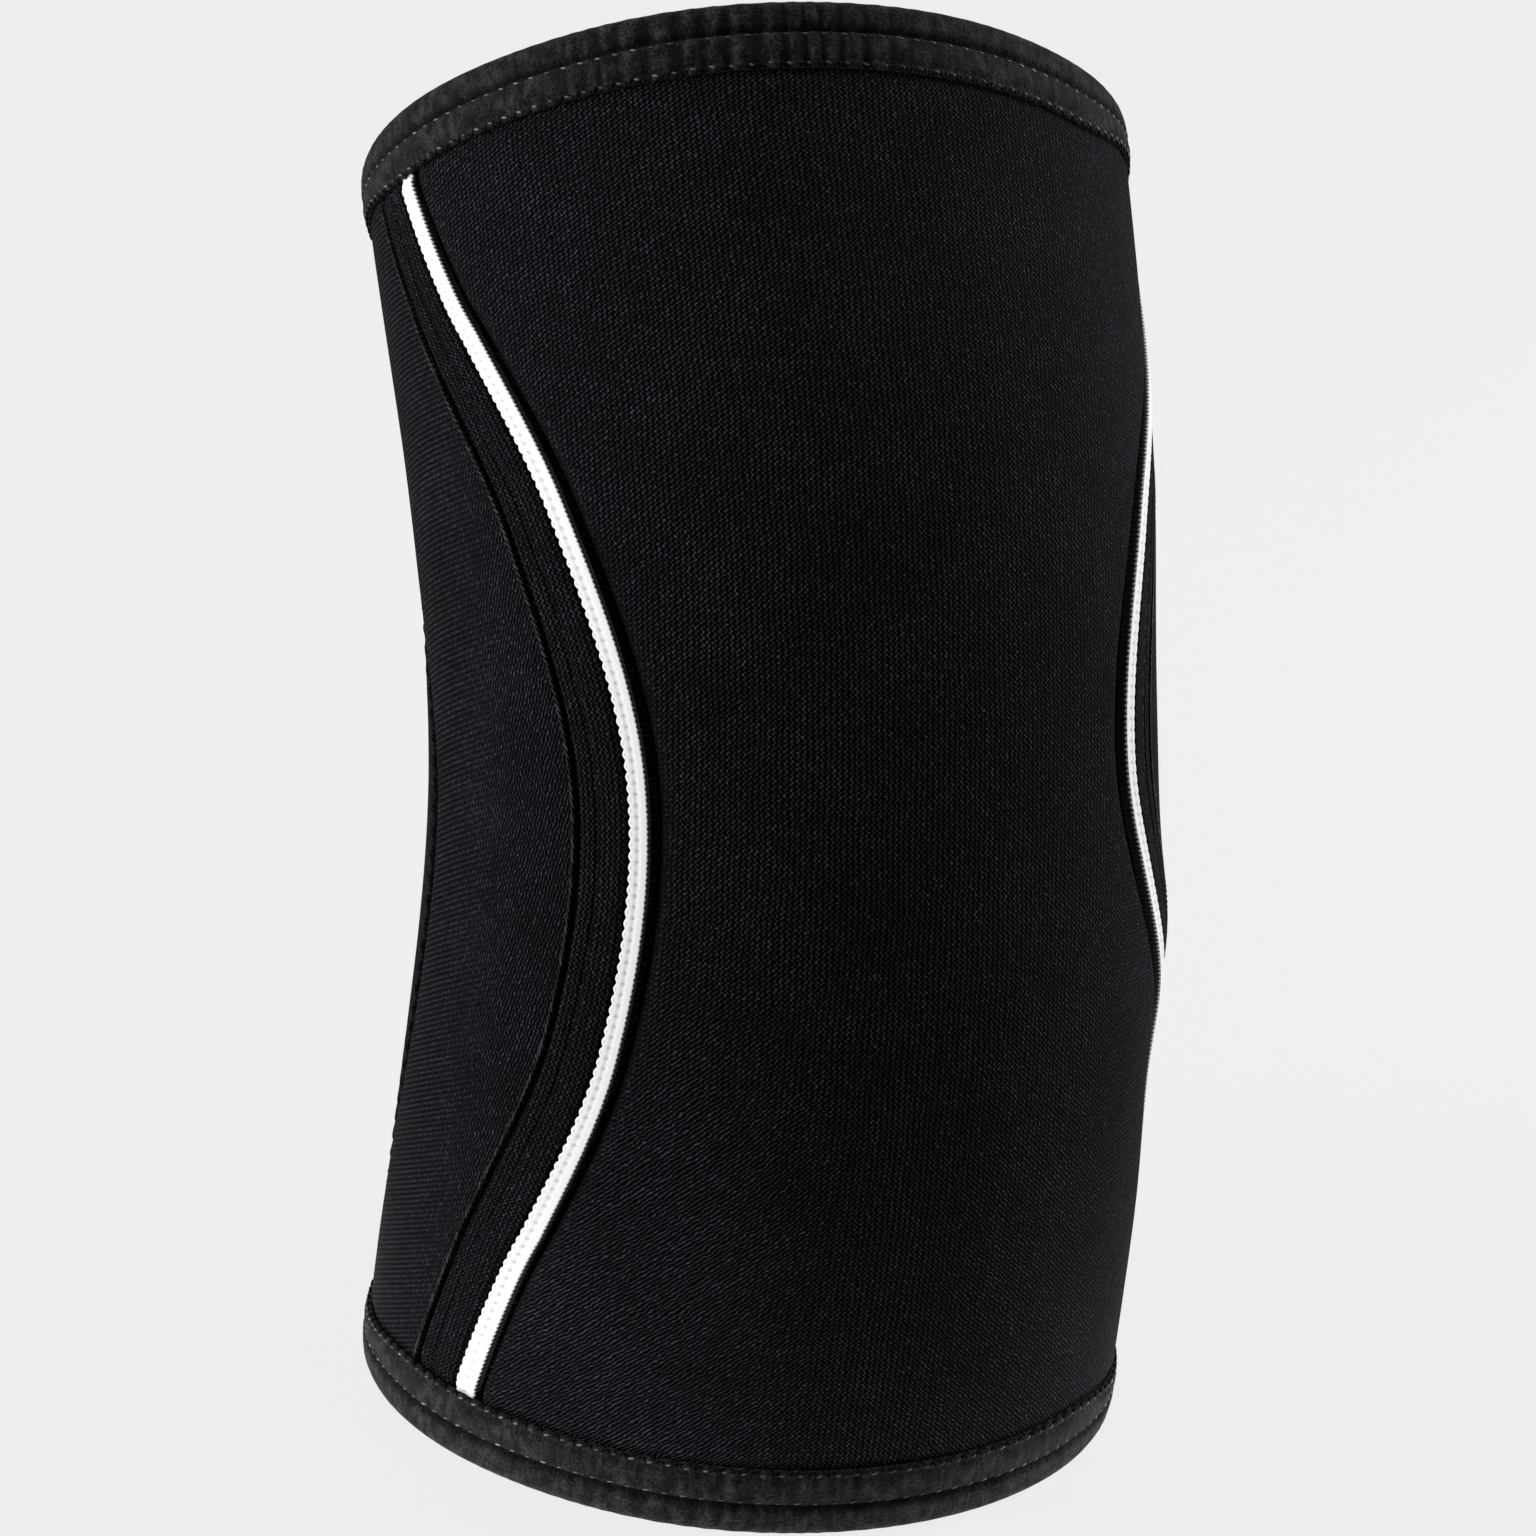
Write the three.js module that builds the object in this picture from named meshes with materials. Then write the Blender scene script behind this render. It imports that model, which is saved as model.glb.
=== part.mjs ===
// Elbow sleeve: a bent tube of neoprene faced with jersey, sewn from a front panel, two side panels and
// a back panel, with a piped band beside the front panel and a folded binding round each rim.
// Millimetres and degrees. The lower rim stands on z = 0, the front faces -Y and +X is to its right.

import * as THREE from 'three';
import { mergeVertices } from 'three/addons/utils/BufferGeometryUtils.js';

const { clamp, degToRad, lerp, radToDeg, smoothstep } = THREE.MathUtils;

// Form of the sleeve
const SLEEVE_LENGTH = 188; // along the centre line, rim to rim
const STRAIGHT_END = 39.5; // straight stretch of the centre line at each rim
const BEND = degToRad(46); // how far the upper arm leans back from the forearm
const WALL = 5; // neoprene with jersey on both faces
const SEAM_GAP = 0.3; // clearance between neighbouring pieces

// Outer half sizes of the tube, evenly spaced from the lower rim to the upper one
const SECTIONS = [
  { halfWidth: 56.0, halfDepth: 47.2 },
  { halfWidth: 55.0, halfDepth: 46.2 },
  { halfWidth: 53.1, halfDepth: 44.6 },
  { halfWidth: 54.8, halfDepth: 46.0 },
  { halfWidth: 56.8, halfDepth: 47.8 },
];

// Where the seams run, in degrees round from the middle of the front, and how wide the seam bands are,
// evenly spaced from the lower rim to the upper one
const SEAMS = [
  { leftFront: -60, leftRear: -112, rightFront: 86, rightRear: 120, bandWidth: 13.5 },
  { leftFront: -52, leftRear: -104, rightFront: 79, rightRear: 114, bandWidth: 12.5 },
  { leftFront: -39, leftRear: -95, rightFront: 69, rightRear: 107, bandWidth: 12 },
  { leftFront: -36.5, leftRear: -93, rightFront: 46, rightRear: 99, bandWidth: 12 },
  { leftFront: -49, leftRear: -107, rightFront: 53, rightRear: 104, bandWidth: 11 },
  { leftFront: -67, leftRear: -116, rightFront: 73, rightRear: 115, bandWidth: 10.5 },
  { leftFront: -77, leftRear: -120, rightFront: 84, rightRear: 120, bandWidth: 11 },
];

// Soft swells (+) and dents (-) of the wall: where they lie, how high they are and how far they spread,
// in degrees round the sleeve
const SWELLS = [
  { along: 73, angle: 84, height: 1.9, alongSpread: 11, angleSpread: 16 },
  { along: 52, angle: 74, height: -0.8, alongSpread: 12, angleSpread: 18 },
  { along: 112, angle: 76, height: -0.6, alongSpread: 18, angleSpread: 20 },
  { along: 188, angle: -50, height: -1.0, alongSpread: 25, angleSpread: 22 },
  { along: 188, angle: 38, height: -0.8, alongSpread: 25, angleSpread: 20 },
  { along: 0, angle: -48, height: -0.7, alongSpread: 25, angleSpread: 22 },
];

// Panels and bands
const EDGE_ROUND = 1.0; // how deep the outer edge of a cut panel is rounded away
const EDGE_RUN = 1.2; // how far that rounding runs in from the edge
const PIPING_INSET = 1.4; // from the seam to the near side of the piping
const PIPING_WIDTH = 2.6;
const PIPING_PROUD = 0.3; // piping stands this far above the wall
const PIPING_THICKNESS = 1.6;
const PIPING_GROOVE = 0.3; // depth of the groove along the middle of the piping

// Bindings: tape folded round each rim over the squeezed end of the wall
const BINDING_HEIGHT = 10.5;
const TAPE = 1.0;
const TAPE_PROUD = 0.55; // tape stands this far outside the wall
const TAPE_PUFF = 0.45; // how far the sewn row in the middle draws the tape in
const SEWN_ROW = 5.4; // height of that row from the rim
const RIM_CAP = 1.2; // tape below the wall's end
const RIM_ROUND = 2.0; // rounding of the rim, outside and inside
const SQUEEZE = 1.0; // outer face of the wall sinks this far under the tape
const SQUEEZED_WALL = 3.2;

// Facets
const FRONT_COLUMNS = 18;
const BACK_COLUMNS = 16;
const SIDE_COLUMNS = 8;
const RING_SEGMENTS = 64;
const PLAIN_ROWS = 22;
const SQUEEZE_START = BINDING_HEIGHT + 3;
const SQUEEZE_END = BINDING_HEIGHT + 0.4;

// Rows of facets along the sleeve, closer together where the wall is squeezed into a binding
const LOWER_RIM_ROWS = [RIM_CAP + SEAM_GAP, SQUEEZE_END, SQUEEZE_START];
const UPPER_RIM_ROWS = LOWER_RIM_ROWS.map((row) => SLEEVE_LENGTH - row).reverse();
const ROWS = [...LOWER_RIM_ROWS];
for (let i = 1; i < PLAIN_ROWS; i++) {
  ROWS.push(lerp(SQUEEZE_START, SLEEVE_LENGTH - SQUEEZE_START, i / PLAIN_ROWS));
}
ROWS.push(...UPPER_RIM_ROWS);

const JERSEY = new THREE.MeshStandardMaterial({ color: 0x16161a, roughness: 0.9, metalness: 0 });
const TAPE_CLOTH = new THREE.MeshStandardMaterial({ color: 0x1d1d20, roughness: 0.95, metalness: 0 });
const WHITE_PIPING = new THREE.MeshStandardMaterial({ color: 0xf0f0ee, roughness: 0.8, metalness: 0 });

// A smooth curve through one column of a table, read at a distance along the sleeve
function columnCurve(table, column) {
  const curve = new THREE.SplineCurve(table.map((row, i) => new THREE.Vector2(i, row[column])));
  return (along) => curve.getPoint(clamp(along / SLEEVE_LENGTH, 0, 1)).y;
}

const halfWidth = columnCurve(SECTIONS, 'halfWidth');
const halfDepth = columnCurve(SECTIONS, 'halfDepth');
const bandWidth = columnCurve(SEAMS, 'bandWidth');

// A seam as a curve of angles along the sleeve
function seamCurve(column) {
  const degrees = columnCurve(SEAMS, column);
  return (along) => degToRad(degrees(along));
}

const leftFront = seamCurve('leftFront');
const leftRear = seamCurve('leftRear');
const rightFront = seamCurve('rightFront');
const rightRear = seamCurve('rightRear');

// The centre line: straight, then an arc that leans back, then straight again
function centreLine(along) {
  const arcLength = SLEEVE_LENGTH - 2 * STRAIGHT_END;
  const radius = arcLength / BEND;
  const lean = BEND * clamp((along - STRAIGHT_END) / arcLength, 0, 1);
  const past = Math.max(along - STRAIGHT_END - arcLength, 0);
  const y = radius * (1 - Math.cos(lean)) + past * Math.sin(lean);
  const z = Math.min(along, STRAIGHT_END) + radius * Math.sin(lean) + past * Math.cos(lean);
  return { y, z, lean };
}

function swellAt(along, angle) {
  let height = 0;
  for (const swell of SWELLS) {
    const up = (along - swell.along) / swell.alongSpread;
    const round = (radToDeg(angle) - swell.angle) / swell.angleSpread;
    height += swell.height * Math.exp(-up * up - round * round);
  }
  return height;
}

// A point of the wall: distance along the sleeve, angle round it, and depth below its outer face
function wallPoint(along, angle, depth) {
  const { y, z, lean } = centreLine(along);
  const wide = halfWidth(along);
  const deep = halfDepth(along);
  const outward = new THREE.Vector2(Math.sin(angle) / wide, Math.cos(angle) / deep).normalize();
  const reach = swellAt(along, angle) - depth;
  const side = wide * Math.sin(angle) + outward.x * reach;
  const front = deep * Math.cos(angle) + outward.y * reach;
  return new THREE.Vector3(side, y - front * Math.cos(lean), z + front * Math.sin(lean));
}

// The depth that a layer of the wall has once the bindings' stitches squeeze it at the rims
function squeezedDepth(along, depth) {
  const fromRim = Math.min(along, SLEEVE_LENGTH - along);
  const grip = 1 - smoothstep(fromRim, SQUEEZE_END, SQUEEZE_START);
  return lerp(depth, SQUEEZE + (depth * SQUEEZED_WALL) / WALL, grip);
}

// The angle that lies a distance beside a seam, measured square to the seam
function beside(seam, along, distance) {
  const angle = seam(along);
  const perRadian = Math.hypot(halfWidth(along) * Math.cos(angle), halfDepth(along) * Math.sin(angle));
  const slant = ((seam(along + 1) - seam(along - 1)) / 2) * perRadian;
  return angle + (distance * Math.hypot(1, slant)) / perRadian;
}

// Moves every vertex of a geometry and welds it into one closed mesh
function shaped(geometry, move) {
  geometry.deleteAttribute('normal');
  geometry.deleteAttribute('uv');
  const welded = mergeVertices(geometry);
  const position = welded.attributes.position;
  for (let i = 0; i < position.count; i++) {
    const point = move(new THREE.Vector3().fromBufferAttribute(position, i));
    position.setXYZ(i, point.x, point.y, point.z);
  }
  welded.computeVertexNormals();
  return welded;
}

function namedMesh(name, geometry, material) {
  const mesh = new THREE.Mesh(geometry, material);
  mesh.name = name;
  return mesh;
}

// A strip of wall from rim to rim, from a box cut into columns across and rows along.
// angleAt gives the angle of a column, outerDepth how far its outer face lies below the wall's.
function wallStrip(name, columns, angleAt, outerDepth) {
  const steps = ROWS.length - 1;
  const block = new THREE.BoxGeometry(columns, WALL, steps, columns, 1, steps);
  block.translate(columns / 2, WALL / 2, steps / 2);
  const wrapped = shaped(block, (point) => {
    const along = ROWS[Math.round(point.z)];
    const column = Math.round(point.x);
    const depth = Math.max(point.y, outerDepth(column));
    return wallPoint(along, angleAt(along, column), squeezedDepth(along, depth));
  });
  return namedMesh(name, wrapped, JERSEY);
}

// A panel between two seams: a column at each cut edge, the others even between the rounded edges
function panel(name, columns, leftSeam, rightSeam) {
  const inset = SEAM_GAP / 2;
  const angleAt = (along, column) => {
    if (column === 0) return beside(leftSeam, along, inset);
    if (column === columns) return beside(rightSeam, along, -inset);
    const left = beside(leftSeam, along, inset + EDGE_RUN);
    const right = beside(rightSeam, along, -inset - EDGE_RUN);
    return lerp(left, right, (column - 1) / (columns - 2));
  };
  const outerDepth = (column) => (column === 0 || column === columns ? EDGE_ROUND : 0);
  return wallStrip(name, columns, angleAt, outerDepth);
}

// The line where a seam band ends and the side panel starts, on the left (-1) or the right (+1)
function bandEdge(seam, sign) {
  return (along) => beside(seam, along, sign * bandWidth(along));
}

// A seam band: a low seat for the piping beside the seam, then the band proper with a rounded far edge.
// Its stops are the columns' distances from the seam, with their depths.
function seamBand(name, seam, sign) {
  const seatDepth = PIPING_THICKNESS - PIPING_PROUD + SEAM_GAP;
  const seatEnd = PIPING_INSET + PIPING_WIDTH + SEAM_GAP;
  const stopsAt = (along) => {
    const farEdge = bandWidth(along) - SEAM_GAP / 2;
    return [
      { distance: SEAM_GAP / 2, depth: seatDepth },
      { distance: seatEnd, depth: seatDepth },
      { distance: seatEnd + EDGE_RUN / 4, depth: EDGE_ROUND / 2 },
      { distance: seatEnd + EDGE_RUN, depth: 0 },
      { distance: (seatEnd + farEdge) / 2, depth: 0 },
      { distance: farEdge - EDGE_RUN, depth: 0 },
      { distance: farEdge, depth: EDGE_ROUND },
    ];
  };
  const last = stopsAt(0).length - 1;
  const stopOf = (column) => (sign > 0 ? column : last - column);
  const angleAt = (along, column) => beside(seam, along, sign * stopsAt(along)[stopOf(column)].distance);
  return wallStrip(name, last, angleAt, (column) => stopsAt(0)[stopOf(column)].depth);
}

// Piping: a flat base with two rounded ridges and a groove between them
function piping(name, seam, sign) {
  const top = -PIPING_PROUD;
  const base = top + PIPING_THICKNESS;
  const shoulder = top + PIPING_THICKNESS / 3;
  const ridge = PIPING_WIDTH / 4;
  const section = [
    { across: 0, depth: base },
    { across: PIPING_WIDTH, depth: base },
    { across: PIPING_WIDTH, depth: shoulder },
    { across: PIPING_WIDTH - ridge, depth: top },
    { across: PIPING_WIDTH / 2, depth: top + PIPING_GROOVE },
    { across: ridge, depth: top },
    { across: 0, depth: shoulder },
  ];
  const outline = section.map((p) => new THREE.Vector2(sign * (PIPING_INSET + p.across), p.depth));
  const steps = ROWS.length - 1;
  const extrusion = { depth: steps, steps, bevelEnabled: false };
  const cord = new THREE.ExtrudeGeometry(new THREE.Shape(outline), extrusion);
  const wrapped = shaped(cord, (point) => {
    const along = ROWS[Math.round(point.z)];
    return wallPoint(along, beside(seam, along, point.x), squeezedDepth(along, point.y));
  });
  return namedMesh(name, wrapped, WHITE_PIPING);
}

// A binding: the section of the folded tape turned into a ring, then laid on the rim.
// The section is given as depth below the wall's outer face and rise from the rim.
function binding(name, alongAt) {
  const outside = -TAPE_PROUD;
  const foldOuter = outside + TAPE;
  const foldInner = SQUEEZE + SQUEEZED_WALL + TAPE_PROUD;
  const inside = foldInner + TAPE;
  const section = [
    { depth: outside + RIM_ROUND, rise: 0 },
    { depth: outside + RIM_ROUND / 4, rise: RIM_ROUND / 3 },
    { depth: outside, rise: (RIM_ROUND + SEWN_ROW) / 2 },
    { depth: outside + TAPE_PUFF, rise: SEWN_ROW },
    { depth: outside, rise: (SEWN_ROW + BINDING_HEIGHT) / 2 },
    { depth: outside + TAPE_PUFF, rise: BINDING_HEIGHT },
    { depth: foldOuter, rise: BINDING_HEIGHT },
    { depth: foldOuter, rise: RIM_CAP },
    { depth: foldInner, rise: RIM_CAP },
    { depth: foldInner, rise: BINDING_HEIGHT },
    { depth: inside, rise: BINDING_HEIGHT },
    { depth: inside, rise: RIM_ROUND },
    { depth: inside - RIM_ROUND, rise: 0 },
  ];
  const turning = alongAt(1) > alongAt(0) ? section : [...section].reverse();
  const ringRadius = halfWidth(0);
  const profile = turning.map((p) => new THREE.Vector2(ringRadius - p.depth, alongAt(p.rise)));
  profile.push(profile[0].clone());
  const ring = shaped(new THREE.LatheGeometry(profile, RING_SEGMENTS), (point) => {
    const depth = ringRadius - Math.hypot(point.x, point.z);
    return wallPoint(point.y, Math.atan2(point.x, point.z), depth);
  });
  return namedMesh(name, ring, TAPE_CLOTH);
}

// Pieces
const FULL_TURN = 2 * Math.PI;
const leftBandEdge = bandEdge(leftFront, -1);
const rightBandEdge = bandEdge(rightFront, 1);
const leftRearRound = (along) => leftRear(along) + FULL_TURN;

const sleeve = new THREE.Group();
sleeve.add(
  panel('front_panel', FRONT_COLUMNS, leftFront, rightFront),
  panel('side_panel_left', SIDE_COLUMNS, leftRear, leftBandEdge),
  panel('side_panel_right', SIDE_COLUMNS, rightBandEdge, rightRear),
  panel('back_panel', BACK_COLUMNS, rightRear, leftRearRound),
  seamBand('seam_band_left', leftFront, -1),
  seamBand('seam_band_right', rightFront, 1),
  piping('piping_left', leftFront, -1),
  piping('piping_right', rightFront, 1),
  binding('bottom_binding', (rise) => rise),
  binding('top_binding', (rise) => SLEEVE_LENGTH - rise),
);

// The origin lies under the middle of the whole sleeve
const box = new THREE.Box3().setFromObject(sleeve);
const middle = box.getCenter(new THREE.Vector3());
sleeve.position.set(-middle.x, -middle.y, -box.min.z);
sleeve.updateMatrixWorld(true);

export default sleeve;
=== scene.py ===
"""Looks of a pre-bent elbow sleeve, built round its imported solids.

Panels and seam bands are closed strips of knitted wall, the piping is a ridged strip with scalloped
edges, the bindings are folded brushed tape, and the thread is made stitch by stitch.
"""

import math

import bmesh
import bpy
import numpy as np
from bpy.props import FloatProperty, FloatVectorProperty, PointerProperty
from mathutils import Matrix, Vector


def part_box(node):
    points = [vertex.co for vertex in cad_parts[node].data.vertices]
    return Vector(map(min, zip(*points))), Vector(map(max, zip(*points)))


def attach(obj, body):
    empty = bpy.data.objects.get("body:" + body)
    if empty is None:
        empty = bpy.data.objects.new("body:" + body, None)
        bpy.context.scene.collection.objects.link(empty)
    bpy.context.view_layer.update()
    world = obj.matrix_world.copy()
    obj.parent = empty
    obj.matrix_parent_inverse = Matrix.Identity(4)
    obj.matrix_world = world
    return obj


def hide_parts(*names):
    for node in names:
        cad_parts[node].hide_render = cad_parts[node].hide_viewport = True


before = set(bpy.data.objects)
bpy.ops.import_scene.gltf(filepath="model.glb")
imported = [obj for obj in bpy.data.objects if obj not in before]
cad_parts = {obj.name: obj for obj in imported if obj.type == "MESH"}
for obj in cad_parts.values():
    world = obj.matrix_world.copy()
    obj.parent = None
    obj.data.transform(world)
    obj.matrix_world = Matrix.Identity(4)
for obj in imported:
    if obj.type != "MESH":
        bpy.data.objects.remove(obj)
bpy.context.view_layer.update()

bl_info = {
    "name": "Elbow sleeve",
    "version": (1, 0, 0),
    "blender": (4, 5, 0),
    "location": "3D View > Sidebar > Sleeve",
    "description": "Builds a knitted elbow sleeve with piping, bound rims and stitches",
    "category": "Object",
}

MM = 0.001
FULL_TURN = 2 * math.pi

# Outer half sizes of the tube in millimetres, evenly spaced from the lower rim to the upper one
SECTIONS = (
    {"half_width": 56.0, "half_depth": 47.2},
    {"half_width": 55.0, "half_depth": 46.2},
    {"half_width": 53.1, "half_depth": 44.6},
    {"half_width": 54.8, "half_depth": 46.0},
    {"half_width": 56.8, "half_depth": 47.8},
)

# Seams in degrees round from the middle of the front, and the width of the seam bands in millimetres,
# evenly spaced from the lower rim to the upper one
SEAMS = (
    {"left_front": -60, "left_rear": -112, "right_front": 86, "right_rear": 120, "band": 13.5},
    {"left_front": -52, "left_rear": -104, "right_front": 79, "right_rear": 114, "band": 12.5},
    {"left_front": -39, "left_rear": -95, "right_front": 69, "right_rear": 107, "band": 12},
    {"left_front": -36.5, "left_rear": -93, "right_front": 46, "right_rear": 99, "band": 12},
    {"left_front": -49, "left_rear": -107, "right_front": 53, "right_rear": 104, "band": 11},
    {"left_front": -67, "left_rear": -116, "right_front": 73, "right_rear": 115, "band": 10.5},
    {"left_front": -77, "left_rear": -120, "right_front": 84, "right_rear": 120, "band": 11},
)

# Swells (+) and dents (-) of the wall: where they lie in millimetres and degrees, how high and how wide
SWELLS = (
    {"along": 73, "angle": 84, "height": 1.9, "along_spread": 11, "angle_spread": 16},
    {"along": 52, "angle": 74, "height": -0.8, "along_spread": 12, "angle_spread": 18},
    {"along": 112, "angle": 76, "height": -0.6, "along_spread": 18, "angle_spread": 20},
    {"along": 188, "angle": -50, "height": -1.0, "along_spread": 25, "angle_spread": 22},
    {"along": 188, "angle": 38, "height": -0.8, "along_spread": 25, "angle_spread": 20},
    {"along": 0, "angle": -48, "height": -0.7, "along_spread": 25, "angle_spread": 22},
)

# Looks of the panels' edges, in millimetres: inset from the seam, how far the rounding runs in, how
# deep it is, how deep the stitches pucker it, and the share of the rounding that is left at the rims
EDGES = {
    "piped": {"inset": 0.15, "run": 2.2, "drop": 2.2, "pucker": 0.05, "rim_share": 0.4},
    "corded": {"inset": 0.35, "run": 0.7, "drop": 0.7, "pucker": 0.1, "rim_share": 1.0},
    "rear": {"inset": 0.2, "run": 4.0, "drop": 1.5, "pucker": 0.15, "rim_share": 1.0},
    "lip": {"inset": 0.15, "run": 0.5, "drop": 1.7, "pucker": 0.45, "rim_share": 1.0},
}

# Puckers of the panels' edges: from one to the next, and how far they reach in
PUCKER_PITCH = 3.4 * MM
PUCKER_REACH = 2.6 * MM

# How far an edge's inner corner reaches past its seam, in millimetres, so that no light shows through
SEAM_LAP = 0.12

# Topstitching of a band: millimetres from the band's edge, and the dip that the thread draws
TOPSTITCH = 3.2
SEWN_LINE_DIP = ((-0.6, 0.0), (-0.3, 0.12), (0.0, 0.4), (0.3, 0.12), (0.6, 0.0))

# The first stop of a band's profile past the piping
SEAT_STOP = 3

# The side panels are cut with their knit slanted
SIDE_TURN = math.radians(28)

# Soft lights on the sleeve: degrees right of the front, degrees above the horizon, and side of the square
LIGHTS = {
    "left": {"azimuth": -88, "elevation": 13, "side": 0.5},
    "right": {"azimuth": 95, "elevation": 20, "side": 0.6},
    "top": {"azimuth": 180, "elevation": 68, "side": 0.6},
}
LIGHT_DISTANCE = 1.0
FOOT_LIGHT_SIDE = 0.15
FLOOR_HALF = 60
SENSOR_WIDTH = 36
WHITE = (1, 1, 1, 1)

# Steps of the meshes
EDGE_STEPS = 6
FRONT_COLUMNS = 84
BACK_COLUMNS = 84
SIDE_COLUMNS = 44
BAND_PLAIN_COLUMNS = 8
PIPING_COLUMNS = 14
PANEL_ROWS = 260
PIPING_ROWS = 1000
RING_STEPS = 640
OUTER_TAPE_STEPS = 26
INNER_TAPE_STEPS = 8
RIM_STEPS = 5
PATH_STEPS = 1200
STITCH_SIDES = 6
STITCH_RINGS = 5
FLOOR_STEPS = 8
CUT_ROWS = 120
CUT_COLUMNS = 41


def length_value(name, description, default):
    """A size of the sleeve in metres."""
    return FloatProperty(name=name, description=description, default=default, unit="LENGTH", precision=5)


def angle_value(name, description, degrees):
    """An angle, shown in degrees."""
    default = math.radians(degrees)
    return FloatProperty(name=name, description=description, default=default, unit="ROTATION")


def place_value(name, description, default):
    """A place in metres."""
    return FloatVectorProperty(name=name, description=description, default=default, unit="LENGTH")


def plain_value(name, description, default):
    """A number whose unit the description gives."""
    return FloatProperty(name=name, description=description, default=default)


def colour_value(name, description, default):
    """A colour of cloth or thread."""
    return FloatVectorProperty(
        name=name, description=description, default=default, size=3, min=0, max=1, subtype="COLOR"
    )


class SleeveSizes(bpy.types.PropertyGroup):
    """Sizes of the sleeve's pieces."""

    length: length_value("Length", "Centre line from rim to rim", 0.188)
    straight_end: length_value("Straight end", "Straight stretch of the centre line at each rim", 0.0395)
    bend: angle_value("Bend", "How far the upper arm leans back from the forearm", 46)
    wall: length_value("Wall", "Thickness of the neoprene with its jersey", 0.005)
    seam_gap: length_value("Seam gap", "Clearance between neighbouring pieces", 0.0003)
    edge_round: length_value("Edge rounding", "How deep a cut edge is rounded away", 0.0013)
    edge_run: length_value("Edge run", "How far the rounding runs in from a cut edge", 0.0014)
    inner_round: length_value("Inner rounding", "Rounding of the edges inside the tube", 0.0006)
    piping_inset: length_value("Piping inset", "From the seam to the piping, half way along", 0.0013)
    rim_inset: length_value("Rim inset", "From the seam to the piping, at the rims", 0.0007)
    piping_width: length_value("Piping width", "Width of the piping", 0.0027)
    piping_proud: length_value("Piping height", "How far the piping stands above the wall", 0.0003)
    piping_thickness: length_value("Piping thickness", "Thickness of the piping", 0.0016)
    trench: length_value("Trench", "Depth of the gap between piping and front panel", 0.0034)
    binding_height: length_value("Binding height", "From the rim to the edge of the tape", 0.0105)
    tape: length_value("Tape", "Thickness of the tape", 0.001)
    tape_proud: length_value("Tape height", "How far the tape stands outside the wall", 0.00055)
    sewn_row: length_value("Sewn row", "From the rim to the middle row of stitches", 0.0054)
    rim_cap: length_value("Rim cap", "Tape past the end of the wall", 0.0012)
    rim_round: length_value("Rim rounding", "Rounding of the rim", 0.002)
    squeeze: length_value("Squeeze", "How far the wall's face sinks under the tape", 0.0005)
    squeezed_wall: length_value("Squeezed wall", "Thickness of the wall under the tape", 0.0037)
    stitch_pitch: length_value("Stitch pitch", "Distance between stitches of the rims", 0.0025)
    thread: length_value("Thread", "Thickness of the sewing thread", 0.00034)


class SleeveFinish(bpy.types.PropertyGroup):
    """Colours of the sleeve's cloths and threads, and the size of the knit."""

    # Painted light of the knit: painted shade between the loops and a painted highlight on their tops
    jersey_shaded: colour_value("Jersey, deep", "Between the loops of the jersey", (0.0006, 0.0006, 0.0008))
    jersey_lit: colour_value("Jersey, lit", "On top of the loops of the jersey", (0.043, 0.0432, 0.0585))
    tape_deep: colour_value("Tape, deep", "Between the hairs of the tape", (0.0014, 0.0013, 0.0014))
    tape_lit: colour_value("Tape, lit", "Tips of the tape's hairs", (0.029, 0.0282, 0.0305))
    rim_lit: colour_value("Rim, lit", "Tips of the hairs next to the rim", (0.031, 0.0288, 0.0287))
    piping: colour_value("Piping", "White piping", (0.57, 0.57, 0.57))
    piping_shade: colour_value("Piping, shaded", "Low places of the piping", (0.36, 0.36, 0.37))
    grey_thread: colour_value("Grey thread", "Thread of the rims", (0.14, 0.14, 0.145))
    black_thread: colour_value("Black thread", "Thread of the seams", (0.005, 0.005, 0.006))
    cord_thread: colour_value("Cord thread", "Thread twisted along the band's seam", (0.035, 0.035, 0.04))
    wale: plain_value("Wale", "Columns of loops, millimetres apart", 0.78)
    course: plain_value("Course", "Rows of loops, millimetres apart", 0.76)


class SleeveStage(bpy.types.PropertyGroup):
    """Camera, light and floor."""

    azimuth: angle_value("Azimuth", "Camera to the left (-) or right of the front", -19)
    elevation: angle_value("Elevation", "Camera above the horizon", 23.7)
    roll: angle_value("Roll", "Camera turned about its own line of sight", 7.63)
    distance: length_value("Distance", "From the camera to the middle of the sleeve", 0.8)
    lens: plain_value("Lens", "Focal length in millimetres", 128.5)
    aim: place_value("Aim", "Where the camera looks", (0.00015, -0.00393, 0.08665))
    floor: colour_value("Floor", "What the floor throws back", (0.03, 0.03, 0.03))
    floor_glow: plain_value("Floor glow", "Strength of the light that the floor gives", 0.812)
    left_power: plain_value("Left light", "Soft light on the left, watts", 16.0)
    right_power: plain_value("Right light", "Soft light on the right, watts", 15.0)
    top_power: plain_value("Top light", "Soft light above, watts", 5.0)
    foot: place_value("Foot", "Middle of the light that lies on the floor", (0.004, -0.022, 0.0005))
    foot_power: plain_value("Foot light", "Light that lies on the floor round the lower rim, watts", 0.12)
    sky: plain_value("Sky", "Strength of the even light from all round", 0.1)


def smooth_step(value, low, high):
    """0 below low, 1 above high, and a smooth rise between them."""
    share = np.clip((value - low) / (high - low), 0, 1)
    return share * share * (3 - 2 * share)


def bump(value, middle, spread):
    """A smooth hill of height 1."""
    return np.exp(-(((value - middle) / spread) ** 2))


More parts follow.
